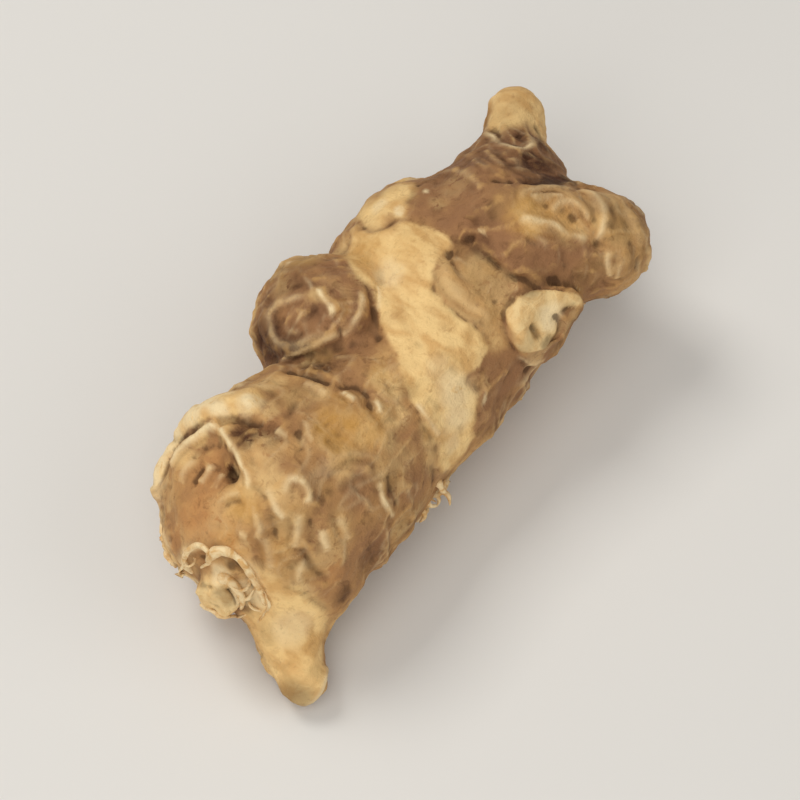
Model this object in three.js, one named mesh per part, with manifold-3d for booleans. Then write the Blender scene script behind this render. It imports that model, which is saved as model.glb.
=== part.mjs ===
// A dried, knobbly piece of galangal rhizome, lying as it rests on a table.
// Millimetres, +Z up. X runs along the rhizome, from its thick rooted end to its narrow neck.
// The origin is the middle of the box around the piece, on the surface that it lies on.
import * as THREE from "three";
import { mergeVertices } from "three/addons/utils/BufferGeometryUtils.js";
import Module from "manifold-3d";

// Driving dimensions.
const BODY_RADIUS = 10.0; // half the thickness of the main rhizome at its rooted end
const KNOB_RADIUS = 5.9; // the round closed bud on the far flank
const SIDE_LOBE_RADIUS = 5.6; // the blunt bud beside the neck
const NECK_RADIUS = 2.5; // the narrow neck, where the shoot was cut off
const FINGER_RADIUS = 3.7; // the short finger at the rooted end
const CUT_STUB_RADIUS = 2.8; // the side shoot that was sliced off
const ROOT_STUB_RADIUS = 2.1; // a snapped root
const SCAR_RADIUS = 3.7; // the open socket that a thick root left
const SCAR_RIM = 1.0; // half the thickness of the rim around the socket
const STUB_RIM = 0.75; // half the thickness of the rim around the snapped root
const REST_DEPTH = 0.47; // how far the underside is worn flat where the piece rests

// Surface relief.
const LEDGE_HEIGHT = 0.6; // the step at each ring that a scale leaf left
const LUMP_HEIGHT = 0.55; // broad unevenness from drying
const WRINKLE_HEIGHT = 0.22; // shrinkage folds that run along each limb
const CAP_STEPS = 5; // rows of faces over each rounded end

const UP = new THREE.Vector3(0, 0, 1);
const vector = ([x, y, z]) => new THREE.Vector3(x, y, z);

// Lumpiness from about -1 to 1 that is the same on every run, with lumps about `size` across.
function lumps(point, size) {
  const { x, y, z } = point.clone().divideScalar(size);
  const broad = Math.sin(2.1 * x + 1.3 * y + 0.6) * Math.sin(1.7 * y - 2.3 * z + 1.9);
  const narrow = Math.sin(4.3 * z - 2.9 * x + 0.4) * Math.sin(3.7 * x + 3.1 * y - 1.1);
  return 0.65 * broad + 0.35 * narrow;
}

// A scale leaf's scar: the skin swells slowly along the limb, then drops at the ledge.
function ledge(turns) {
  const share = turns - Math.floor(turns);
  return share < 0.82 ? share / 0.82 : (1 - share) / 0.18;
}

// The outline of a limb from pole to pole: a rounded start, the side, and a rounded end.
function outline(length, radii, caps, rows) {
  const stations = radii.map((r, i) => new THREE.Vector2(r, (length * i) / (radii.length - 1)));
  const side = new THREE.SplineCurve(stations).getSpacedPoints(rows);
  const cap = (radius, depth, from, sign) =>
    Array.from({ length: CAP_STEPS }, (_, i) => {
      const angle = (Math.PI / 2) * (i / CAP_STEPS);
      return new THREE.Vector2(radius * Math.sin(angle), from - sign * depth * Math.cos(angle));
    });
  const start = cap(radii[0], caps[0], 0, 1);
  const end = cap(radii[radii.length - 1], caps[1], length, -1).reverse();
  return [...start, ...side, ...end];
}

// A limb of the rhizome: a lathe-turned outline, bent along a spine and roughened.
function limb({ spine, radii, caps, around, rows, rings = 0, twist = 0, flat = 1, side = UP }) {
  const points = spine.map(vector);
  const curve = points.length > 2 ? new THREE.CatmullRomCurve3(points) : new THREE.LineCurve3(...points);
  const length = curve.getLength();
  const geometry = new THREE.LatheGeometry(outline(length, radii, caps, rows), around);
  const position = geometry.getAttribute("position");
  for (let i = 0; i < position.count; i++) {
    const turned = new THREE.Vector3().fromBufferAttribute(position, i);
    const share = turned.y / length;
    const inside = Math.min(Math.max(share, 0), 1);
    const tangent = curve.getTangentAt(inside);
    const across = new THREE.Vector3().crossVectors(tangent, side).normalize();
    const above = new THREE.Vector3().crossVectors(across, tangent);
    const centre = curve.getPointAt(inside).addScaledVector(tangent, (share - inside) * length);
    const radial = across.multiplyScalar(turned.x).addScaledVector(above, turned.z * flat);
    const radius = radial.length();
    const placed = centre.clone().add(radial);
    if (radius > 1e-6) {
      const angle = Math.atan2(turned.z, turned.x);
      const fade = Math.min(1, radius / 2.5);
      const wave = 0.18 * Math.sin(2 * angle + twist) + 0.1 * Math.sin(3 * angle - 2 * twist);
      const turns = rings * share + wave + 0.3 * lumps(placed, 13) + 10;
      const step = rings ? LEDGE_HEIGHT * (ledge(turns) - 0.5) : 0;
      const fold = WRINKLE_HEIGHT * Math.sin(9 * angle + 3 * share + 2 * lumps(placed, 9));
      const relief = step + fold + LUMP_HEIGHT * lumps(placed, 5.5);
      placed.addScaledVector(radial.normalize(), relief * fade);
    }
    position.setXYZ(i, placed.x, placed.y, placed.z);
  }
  return geometry;
}

// Geometry that is placed and turned, with its own Y axis along `axis`.
function placed(geometry, centre, axis = [0, 1, 0]) {
  const turn = new THREE.Quaternion().setFromUnitVectors(new THREE.Vector3(0, 1, 0), vector(axis).normalize());
  return geometry.applyQuaternion(turn).translate(...centre);
}

// The main rhizome: thick and blunt at the rooted end, waisted, and swollen again near the neck.
function rhizome() {
  return limb({
    spine: [[-17.5, 0.2, 9.5], [-8.5, -1.0, 9.2], [-0.3, -1.5, 9.5], [8.3, -0.1, 9.5], [13.1, 1.3, 10.3]],
    radii: [0.98, 0.95, 0.81, 0.83, 0.99, 0.8].map((share) => share * BODY_RADIUS),
    caps: [9.2, 7.2],
    around: 44,
    rows: 30,
    rings: 6,
    twist: 0.7,
    flat: 0.95,
  });
}

// The swelling at the far shoulder, where the rhizome widens towards the neck.
function shoulder() {
  return limb({
    spine: [[5.7, 3.9, 10.0], [11.7, 5.7, 10.4]],
    radii: [BODY_RADIUS * 0.72, BODY_RADIUS * 0.66],
    caps: [5.5, 5.2],
    around: 26,
    rows: 6,
    rings: 1,
    twist: 2.1,
  });
}

// The neck that the leafy shoot grew from.
function neck() {
  return limb({
    spine: [[13.1, 2.6, 11.0], [19.1, 4.4, 11.6], [26.3, 7.1, 11.8]],
    radii: [2.6, 2.5, 2.3, 1.3, 1.0].map((share) => share * NECK_RADIUS),
    caps: [3, 2.6],
    around: 24,
    rows: 16,
    rings: 4,
    twist: 1.4,
  });
}

// The blunt bud beside the neck, which leans out over the table.
function sideLobe() {
  return limb({
    spine: [[11.5, 0.4, 11.8], [16.3, -2.8, 12.6], [20.3, -6.6, 12.6]],
    radii: [1.4, 1.22, 1.06, 0.93].map((share) => share * SIDE_LOBE_RADIUS),
    caps: [4, 3.9],
    around: 28,
    rows: 12,
    rings: 3,
    twist: 0.2,
  });
}

// The round closed bud, with the rings of its scale leaves around its tip.
function knob() {
  return limb({
    spine: [[0.1, 2.8, 9.1], [-2.6, 8.4, 13.3]],
    radii: [KNOB_RADIUS * 1.12, KNOB_RADIUS * 0.98, KNOB_RADIUS * 1.04],
    caps: [3, 3.7],
    around: 28,
    rows: 7,
    rings: 3,
    twist: 2.6,
    side: new THREE.Vector3(1, 0, 0),
  });
}

// The short finger at the rooted end, which touches the table.
function finger() {
  return limb({
    spine: [[-18.7, -3.0, 7.2], [-23.4, -6.8, 3.9], [-26.0, -10.5, 2.2]],
    radii: [1.65, 1.07, 0.68].map((share) => share * FINGER_RADIUS),
    caps: [3, 3.0],
    around: 24,
    rows: 11,
    rings: 2,
    twist: 0.9,
  });
}

// A low bud on the hidden far side of the underside, the third place where the piece rests.
function lowBud() {
  return limb({
    spine: [[-2.8, 3.0, 6.8], [-3.1, 8.0, 3.4]],
    radii: [FINGER_RADIUS * 1.35, FINGER_RADIUS * 1.12],
    caps: [3, 3.2],
    around: 24,
    rows: 5,
    rings: 2,
    twist: 0.4,
    side: new THREE.Vector3(1, 0, 0),
  });
}

// The sliced side shoot, a stub with a flat face.
function cutStub() {
  return limb({
    spine: [[8.1, -3.8, 11.1], [8.0, -10.7, 16.5]],
    radii: [CUT_STUB_RADIUS * 1.7, CUT_STUB_RADIUS * 1.15, CUT_STUB_RADIUS],
    caps: [1, 1],
    around: 22,
    rows: 6,
  });
}

// Where a ray from inside the rhizome leaves its skin.
function onSkin(skin, from, axis) {
  const direction = vector(axis).normalize();
  const hits = new THREE.Raycaster(vector(from), direction).intersectObject(skin);
  return hits[hits.length - 1].point;
}

// A snapped root at the rooted end: where its ray starts, and the way it grew.
const ROOT_STUB = { from: [-17.5, 0.2, 9.2], axis: [-0.98, -0.16, -0.14] };
const ROOT_STUB_LENGTH = 1.8;
function rootStub(skin) {
  const base = onSkin(skin, ROOT_STUB.from, ROOT_STUB.axis);
  const along = vector(ROOT_STUB.axis).normalize();
  return limb({
    spine: [-3.5, ROOT_STUB_LENGTH].map((out) => base.clone().addScaledVector(along, out).toArray()),
    radii: [ROOT_STUB_RADIUS * 1.35, ROOT_STUB_RADIUS],
    caps: [1, 0.3],
    around: 18,
    rows: 5,
  });
}

// The raised rim of skin around a scar or a snapped root, pinched and swollen along its way round.
function collar(skin, { from, axis }, radius, thickness) {
  const ring = new THREE.TorusGeometry(radius, thickness, 7, 24).rotateX(Math.PI / 2);
  const position = ring.getAttribute("position");
  for (let i = 0; i < position.count; i++) {
    const point = new THREE.Vector3().fromBufferAttribute(position, i);
    const around = Math.atan2(point.z, point.x);
    const swell = 1 + 0.1 * Math.sin(2 * around + 0.8) + 0.06 * Math.sin(5 * around);
    const lift = thickness * (0.35 * Math.sin(3 * around + thickness) - 0.3);
    position.setXYZ(i, point.x * swell, point.y * swell + lift, point.z * swell);
  }
  return placed(ring, onSkin(skin, from, axis).toArray(), axis);
}

// The open socket on top of the rooted end: a bowl inside a raised rim.
const SOCKET = { from: [-17.5, 0.2, 9.5], axis: [-0.55, 0.45, 0.8] };
function socketBowl(skin) {
  const bowl = new THREE.SphereGeometry(SCAR_RADIUS * 0.86, 18, 12).scale(1, 0.55, 1);
  return placed(bowl, onSkin(skin, SOCKET.from, SOCKET.axis).toArray(), SOCKET.axis);
}

// Round pits where hair roots came out: where each one's ray starts, its direction and its radius.
const PITS = [
  { from: [9.2, 0.5, 10.0], axis: [0.22, 0.1, 0.97], radius: 0.9 },
  { from: [6.7, 0.5, 10.0], axis: [0.05, 0.2, 0.97], radius: 0.8 },
  { from: [-8.3, -1.0, 8.9], axis: [0, -1, 0.05], radius: 1.1 },
  { from: [-0.3, -2.0, 8.9], axis: [0.1, -0.9, -0.4], radius: 1.0 },
  { from: [16.7, 3.8, 10.9], axis: [0.1, 0.8, -0.55], radius: 1.0 },
  { from: [-16.3, 1.5, 8.9], axis: [-0.2, 1, -0.1], radius: 1.2 },
];
function pit(skin, { from, axis, radius }) {
  return placed(new THREE.SphereGeometry(radius, 10, 7), onSkin(skin, from, axis).toArray());
}

// A slab that takes off everything past a plane, and leaves a flat cut face.
function slice(centre, axis) {
  const reach = 24;
  const slab = new THREE.BoxGeometry(reach, reach, reach).translate(0, reach / 2, 0);
  return placed(slab, centre, axis);
}

// What knives and wear took off: the sliced shoot's face, the neck's tip and the finger's tip.
const CUTS = [
  { limb: cutStub, centre: [7.9, -9.8, 15.6], axis: [-0.16, -0.7, 0.7] },
  { limb: neck, centre: [28.1, 7.8, 12.2], axis: [0.86, 0.34, 0.36] },
  { limb: finger, centre: [-27.5, -12.7, 2.6], axis: [-0.62, -0.77, 0.1] },
];

const wasm = await Module();
wasm.setup();

// A closed geometry as a solid, with its shared vertices merged and its collapsed faces left out.
function solid(geometry) {
  const bare = new THREE.BufferGeometry();
  bare.setAttribute("position", geometry.getAttribute("position"));
  bare.setIndex(geometry.getIndex());
  const merged = mergeVertices(bare, 1e-4);
  const corners = merged.getIndex().array;
  const faces = [];
  for (let i = 0; i < corners.length; i += 3) {
    const [a, b, c] = corners.subarray(i, i + 3);
    if (a !== b && b !== c && c !== a) faces.push(a, b, c);
  }
  const vertProperties = merged.getAttribute("position").array;
  const made = new wasm.Manifold(
    new wasm.Mesh({ numProp: 3, vertProperties, triVerts: new Uint32Array(faces) }),
  );
  if (made.volume() > 0) return made;
  const turned = faces.map((_, i) => faces[i - (i % 3) + [0, 2, 1][i % 3]]);
  return new wasm.Manifold(
    new wasm.Mesh({ numProp: 3, vertProperties, triVerts: new Uint32Array(turned) }),
  );
}

const joined = (solids) => solids.reduce((all, one) => all.add(one));

// Each sliced limb is cut before it joins the others, so that a cut never reaches its neighbours.
function cutLimbs() {
  return CUTS.map((cut) => solid(cut.limb()).subtract(solid(slice(cut.centre, cut.axis))));
}

// A solid's faces as a geometry.
function asGeometry(made) {
  const mesh = made.getMesh();
  const geometry = new THREE.BufferGeometry();
  geometry.setAttribute("position", new THREE.BufferAttribute(mesh.vertProperties, 3));
  return geometry.setIndex(new THREE.BufferAttribute(mesh.triVerts, 1));
}

function galangal() {
  const limbs = joined([rhizome, shoulder, sideLobe, knob, lowBud].map((make) => solid(make())));
  const grown = limbs.add(joined(cutLimbs()));
  const skin = new THREE.Mesh(asGeometry(grown), new THREE.MeshBasicMaterial({ side: THREE.DoubleSide }));
  const rims = [
    rootStub(skin),
    collar(skin, SOCKET, SCAR_RADIUS, SCAR_RIM),
    collar(skin, ROOT_STUB, ROOT_STUB_RADIUS * 1.35, STUB_RIM),
  ];
  const hollows = [socketBowl(skin), ...PITS.map((one) => pit(skin, one))];
  const carved = grown.add(joined(rims.map(solid))).subtract(joined(hollows.map(solid)));
  const lowest = carved.boundingBox().min[2];
  const table = slice([0, 0, lowest + REST_DEPTH], [0, 0, -1]).scale(4, 4, 1);
  return carved.subtract(solid(table));
}

// The origin goes under the middle of the box around the piece.
function centred(geometry) {
  geometry.computeBoundingBox();
  const { min, max } = geometry.boundingBox;
  return geometry.translate(-(min.x + max.x) / 2, -(min.y + max.y) / 2, -min.z);
}

const skin = new THREE.MeshStandardMaterial({ color: 0x8a6243, roughness: 0.8, metalness: 0 });
const root = new THREE.Mesh(centred(asGeometry(galangal())), skin);
root.name = "galangal_root";

const part = new THREE.Group();
part.add(root);
export default part;
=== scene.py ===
import math
from collections import namedtuple

import bmesh
import bpy
import numpy as np
from bpy.props import FloatProperty, FloatVectorProperty, PointerProperty
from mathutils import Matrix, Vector
from mathutils.bvhtree import BVHTree


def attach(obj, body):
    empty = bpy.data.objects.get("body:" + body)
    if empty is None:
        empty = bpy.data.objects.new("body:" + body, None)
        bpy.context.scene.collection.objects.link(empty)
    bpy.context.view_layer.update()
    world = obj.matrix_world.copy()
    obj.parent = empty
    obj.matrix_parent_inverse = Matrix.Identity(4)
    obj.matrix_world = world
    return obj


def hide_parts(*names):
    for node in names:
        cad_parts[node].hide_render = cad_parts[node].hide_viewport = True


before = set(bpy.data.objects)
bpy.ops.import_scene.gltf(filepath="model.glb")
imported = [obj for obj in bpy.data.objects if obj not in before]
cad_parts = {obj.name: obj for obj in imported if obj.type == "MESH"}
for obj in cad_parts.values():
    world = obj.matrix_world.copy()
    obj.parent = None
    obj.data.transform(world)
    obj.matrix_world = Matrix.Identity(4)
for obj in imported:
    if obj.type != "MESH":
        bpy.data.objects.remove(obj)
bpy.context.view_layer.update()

bl_info = {
    "name": "Dried Galangal Root",
    "version": (1, 0, 0),
    "blender": (4, 5, 0),
    "location": "View3D > Sidebar > Galangal",
    "description": "A dried, knobbly galangal rhizome with wrinkled bark, scale leaves and root fibres",
    "category": "Add Mesh",
}

NODE = "galangal_root"
MM = 0.001
UP = (0, 0, 1)
ALONG = (1, 0, 0)

# The direction that the camera looks from: round the piece, and above the table, in degrees.
AZIMUTH = -52
ELEVATION = 58
_TURN = math.radians(AZIMUTH)
_TILT = math.radians(ELEVATION)
AWAY = np.array([-math.sin(_TURN), math.cos(_TURN), 0.0])
RIGHT = np.array([math.cos(_TURN), math.sin(_TURN), 0.0])
UPWARD = AWAY * math.sin(_TILT) + np.array([0.0, 0.0, math.cos(_TILT)])
TOWARDS = np.array([0.0, 0.0, math.sin(_TILT)]) - AWAY * math.cos(_TILT)

# Places on the near side are given as (right, up) across the view, in millimetres from this point.
VIEW_MIDDLE = RIGHT * 0.1 + UPWARD * 2.47 + TOWARDS * 8.5
OUTSIDE = 60  # millimetres; rays that look for the skin from outside start this far out
ROOTED = 0.3  # millimetres; leaves and fibres start this deep in the skin

# The limbs of the solid, in millimetres: the points of the spine, the radii at even steps along it, how far
# the two ends reach past it, how wide the rounding is where it joins the others, the gap between its ring
# ledges and their height, the direction that counts as above it, and its cut, if it has one. A cut is a
# point on the flat face, the way that the face looks, and how far its edge is rounded.
SLICE = ((9.0, -9.1, 15.4), (-0.16, -0.7, 0.7), 0.45)
Limb = namedtuple("Limb", "name spine radii caps blend ring_gap ring_height side cut")
LIMBS = [
    Limb(
        "rhizome",
        [(-17.5, 0.2, 9.5), (-8.5, -1.0, 9.2), (-0.3, -1.5, 9.5), (7.9, 0.4, 9.3), (13.1, 1.3, 10.3)],
        [9.8, 9.5, 8.1, 8.3, 9.2, 8.0], (9.2, 7.2), 0, 4.4, 0.42, UP, None,
    ),
    Limb("shoulder", [(5.7, 3.9, 10.0), (11.7, 5.7, 10.4)], [7.6, 7.1], (5.5, 5.2), 1.2, 4.0, 0.3, UP, None),
    Limb(
        "neck", [(13.1, 2.2, 11.0), (19.7, 3.3, 11.6), (26.6, 7.4, 12.1)],
        [6.2, 5.7, 4.8, 3.0, 2.7], (3, 2.8), 1.0, 2.6, 0.26, UP, None,
    ),
    Limb(
        "side_lobe", [(11.5, 0.4, 11.8), (16.2, -2.9, 12.5), (20.5, -7.1, 12.4)],
        [7.8, 6.7, 5.7, 4.8], (4, 3.9), 2.4, 2.7, 0.34, UP, None,
    ),
    Limb("knob", [(0.1, 2.8, 9.1), (-2.6, 8.4, 13.3)], [6.6, 6.4, 6.9], (3, 4.2), 0.8, 2.3, 0.3, ALONG, None),
    Limb("low_bud", [(-2.8, 3.0, 6.8), (-3.1, 8.0, 3.4)], [5.0, 4.14], (3, 3.2), 1.4, 2.3, 0.3, ALONG, None),
    Limb(
        "finger", [(-18.7, -3.0, 7.2), (-23.6, -6.5, 3.9), (-26.4, -10.2, 2.2)],
        [6.0, 3.3, 2.0], (3, 3), 1.6, 3.2, 0.12, UP, ((-27.2, -12.4, 2.6), (-0.62, -0.77, 0.1), 1.3),
    ),
    Limb(
        "cut_stub", [(9.9, -4.2, 10.9), (8.9, -10.1, 16.5)], [4.7, 3.5, 3.1], (1, 1), 0.9, 0, 0, UP, SLICE,
    ),
    Limb(
        "cut_stub_side", [(12.4, -7.4, 12.6), (11.6, -11.3, 16.8)],
        [2.2, 1.5, 1.3], (0.6, 0.6), 1.1, 0, 0, UP, SLICE,
    ),
    Limb(
        "root_stub", [(-22.5, -0.8, 9.2), (-28.6, -2.0, 8.6)], [3.0, 2.4], (1, 0.3), 0.5, 0, 0, UP,
        ((-28.1, -1.9, 8.7), (-0.93, -0.3, 0.2), 0.5),
    ),
]
NAMES = [limb.name for limb in LIMBS]


def unit(vector):
    vector = np.asarray(vector, float)
    return vector / np.maximum(np.linalg.norm(vector, axis=-1, keepdims=True), 1e-9)


def smooth_step(low, high, value):
    share = np.clip((value - low) / (high - low), 0, 1)
    return share * share * (3 - 2 * share)


def bell(distance, width):
    """1 at no distance, and nearly 0 from twice the width on."""
    return np.exp(-((distance / width) ** 2))


def curve_through(points, count):
    """Evenly spaced points on a Catmull-Rom curve through the given points, of any dimension."""
    points = np.asarray(points, float)
    if len(points) == 2:
        return points[0] + np.linspace(0, 1, count)[:, None] * (points[1] - points[0])
    padded = np.concatenate([[2 * points[0] - points[1]], points, [2 * points[-1] - points[-2]]])
    fine = []
    t = np.linspace(0, 1, 12, endpoint=False)[:, None]
    for a, b, c, d in zip(padded, padded[1:], padded[2:], padded[3:]):
        fine.append(b + 0.5 * t * (c - a + t * (2 * a - 5 * b + 4 * c - d + t * (3 * (b - c) + d - a))))
    fine = np.concatenate([*fine, points[-1:]])
    travelled = path_lengths(fine)
    stops = np.linspace(0, travelled[-1], count)
    return np.stack([np.interp(stops, travelled, column) for column in fine.T], axis=1)


def path_lengths(path):
    """How far along a path each of its points is."""
    return np.concatenate([[0], np.cumsum(np.linalg.norm(np.diff(path, axis=0), axis=1))])


# Noise that is the same on every run.
_DRAW = np.random.default_rng(11)
GRADIENTS = unit(_DRAW.normal(size=(256, 3)))
SHUFFLED = _DRAW.permutation(256)


def noise(points, seed):
    """Gradient noise from about -1 to 1, with cells one unit across."""
    points = np.asarray(points, float) + 17.3 * seed
    cell = np.floor(points).astype(int)
    inside = points - cell
    ease = inside**3 * (inside * (inside * 6 - 15) + 10)
    total = np.zeros(len(points))
    for corner in np.ndindex(2, 2, 2):
        key = SHUFFLED[(cell[:, 0] + corner[0]) & 255]
        key = SHUFFLED[(key + cell[:, 1] + corner[1]) & 255]
        key = SHUFFLED[(key + cell[:, 2] + corner[2]) & 255]
        lean = np.einsum("ij,ij->i", GRADIENTS[key], inside - corner)
        total += np.prod(np.where(corner, ease, 1 - ease), axis=1) * lean
    return total * 1.7


def layered(points, octaves, seed):
    """Several octaves of noise, each half as large and half as strong as the one before."""
    return sum(0.5**i * noise(points * 2**i, seed + 3 * i) for i in range(octaves))


def crests(points, seed, sharpness):
    """Sharp crests, from 0 in the flats to 1 on the crest."""
    return 1 - np.minimum(1, sharpness * np.abs(noise(points, seed)))


# The skin as a smooth union of the limbs.
Tube = namedtuple("Tube", "limb centres radii tangents across above travelled")


def make_tube(limb, samples=18):
    """A limb's spine in even steps, with its radii and the directions across it."""
    even = np.linspace(0, 1, samples)
    stations = np.linspace(0, 1, len(limb.radii))
    radii = np.interp(even, *curve_through(np.stack([stations, limb.radii], 1), 60).T)
    centres = curve_through(limb.spine, samples)
    tangents = unit(np.gradient(centres, axis=0))
    length = path_lengths(centres)[-1]
    start, end = (max(0, radius - cap) / length for radius, cap in zip(radii[[0, -1]], limb.caps))
    shares = np.linspace(start, 1 - end, samples)
    centres = np.stack([np.interp(shares, even, column) for column in centres.T], axis=1)
    tangents = unit(np.stack([np.interp(shares, even, column) for column in tangents.T], axis=1))
    across = unit(np.cross(tangents, limb.side))
    return Tube(limb, centres, radii, tangents, across, np.cross(across, tangents), path_lengths(centres))


def nearest_on(points, path):
    """For each point: the nearest place on a path, as its segment, the share of it, and the distance."""
    step = np.diff(path, axis=0)
    offset = points[:, None] - path[:-1]
    share = np.clip(np.einsum("nsk,sk->ns", offset, step) / np.einsum("sk,sk->s", step, step), 0, 1)
    gap = np.linalg.norm(offset - share[..., None] * step, axis=2)
    best = gap.argmin(axis=1)
    rows = np.arange(len(points))
    return best, share[rows, best], gap[rows, best]


def smooth_join(a, toward_a, b, toward_b, blend):
    """The union of two distances and their directions, rounded where they meet."""
    mix = np.clip(0.5 + 0.5 * (b - a) / blend, 0, 1)
    distance = b + mix * (a - b) - blend * mix * (1 - mix)
    return distance, toward_b + mix[:, None] * (toward_a - toward_b)


def tube_distance(points, tube):
    """Distance from each point to a tube's skin, and the direction away from its spine."""
    best, share, reach = nearest_on(points, tube.centres)
    step = tube.centres[best + 1] - tube.centres[best]
    out = points - tube.centres[best] - share[:, None] * step
    distance = reach - tube.radii[best] - share * (tube.radii[best + 1] - tube.radii[best])
    direction = out / np.maximum(reach, 1e-6)[:, None]
    if tube.limb.cut:
        centre, axis, rounding = tube.limb.cut
        past = (points - centre) @ unit(axis)
        distance, direction = smooth_join(-distance, -direction, -past, -unit(axis), rounding)
        distance, direction = -distance, -direction
    return distance, direction


TUBES = [make_tube(limb) for limb in LIMBS]


def skin_distance(points):
    """Distance to the whole skin, its direction, and the distance to each limb."""
    separate = [tube_distance(points, tube) for tube in TUBES]
    distance, direction = separate[0]
    for tube, (one, toward) in zip(TUBES[1:], separate[1:]):
        distance, direction = smooth_join(distance, direction, one, toward, tube.limb.blend)
    return distance, direction, np.stack([one for one, _ in separate], axis=1)


def settle_on_skin(points, rounds=4):
    """Moves points onto the skin along its gradient."""
    for _ in range(rounds):
        distance, direction, _ = skin_distance(points)
        steepness = np.maximum((direction**2).sum(axis=1), 0.25)
        points = points - (distance / steepness)[:, None] * direction
    return points


def remeshed(points, faces, voxel):
    """An even mesh of small squares over a closed mesh, as points and faces."""
    mesh = bpy.data.meshes.new("working")
    mesh.from_pydata(points.tolist(), [], faces)
    piece = bpy.data.objects.new("working", mesh)
    bpy.context.scene.collection.objects.link(piece)
    modifier = piece.modifiers.new("even", "REMESH")
    modifier.mode = "VOXEL"
    modifier.voxel_size = voxel
    done = bpy.data.meshes.new_from_object(piece.evaluated_get(bpy.context.evaluated_depsgraph_get()))
    made = mesh_points(done), [tuple(face.vertices) for face in done.polygons]
    bpy.data.objects.remove(piece)
    bpy.data.meshes.remove(mesh)
    bpy.data.meshes.remove(done)
    return made


def mesh_points(mesh):
    flat = np.empty(len(mesh.vertices) * 3)
    mesh.vertices.foreach_get("co", flat)
    return flat.reshape(-1, 3)


def even_skin(voxel):
    """The solid's skin as an even mesh, with the places where its limbs meet rounded."""
    shell = bmesh.new()
    shell.from_mesh(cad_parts[NODE].data)
    bmesh.ops.remove_doubles(shell, verts=shell.verts, dist=1e-7)
    points = np.array([vertex.co for vertex in shell.verts]) / MM
    faces = [tuple(vertex.index for vertex in face.verts) for face in shell.faces]
    shell.free()
    for size in (2 * voxel, voxel):
        points, faces = remeshed(points, faces, size)
        points = settle_on_skin(points)
    return points, faces


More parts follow.
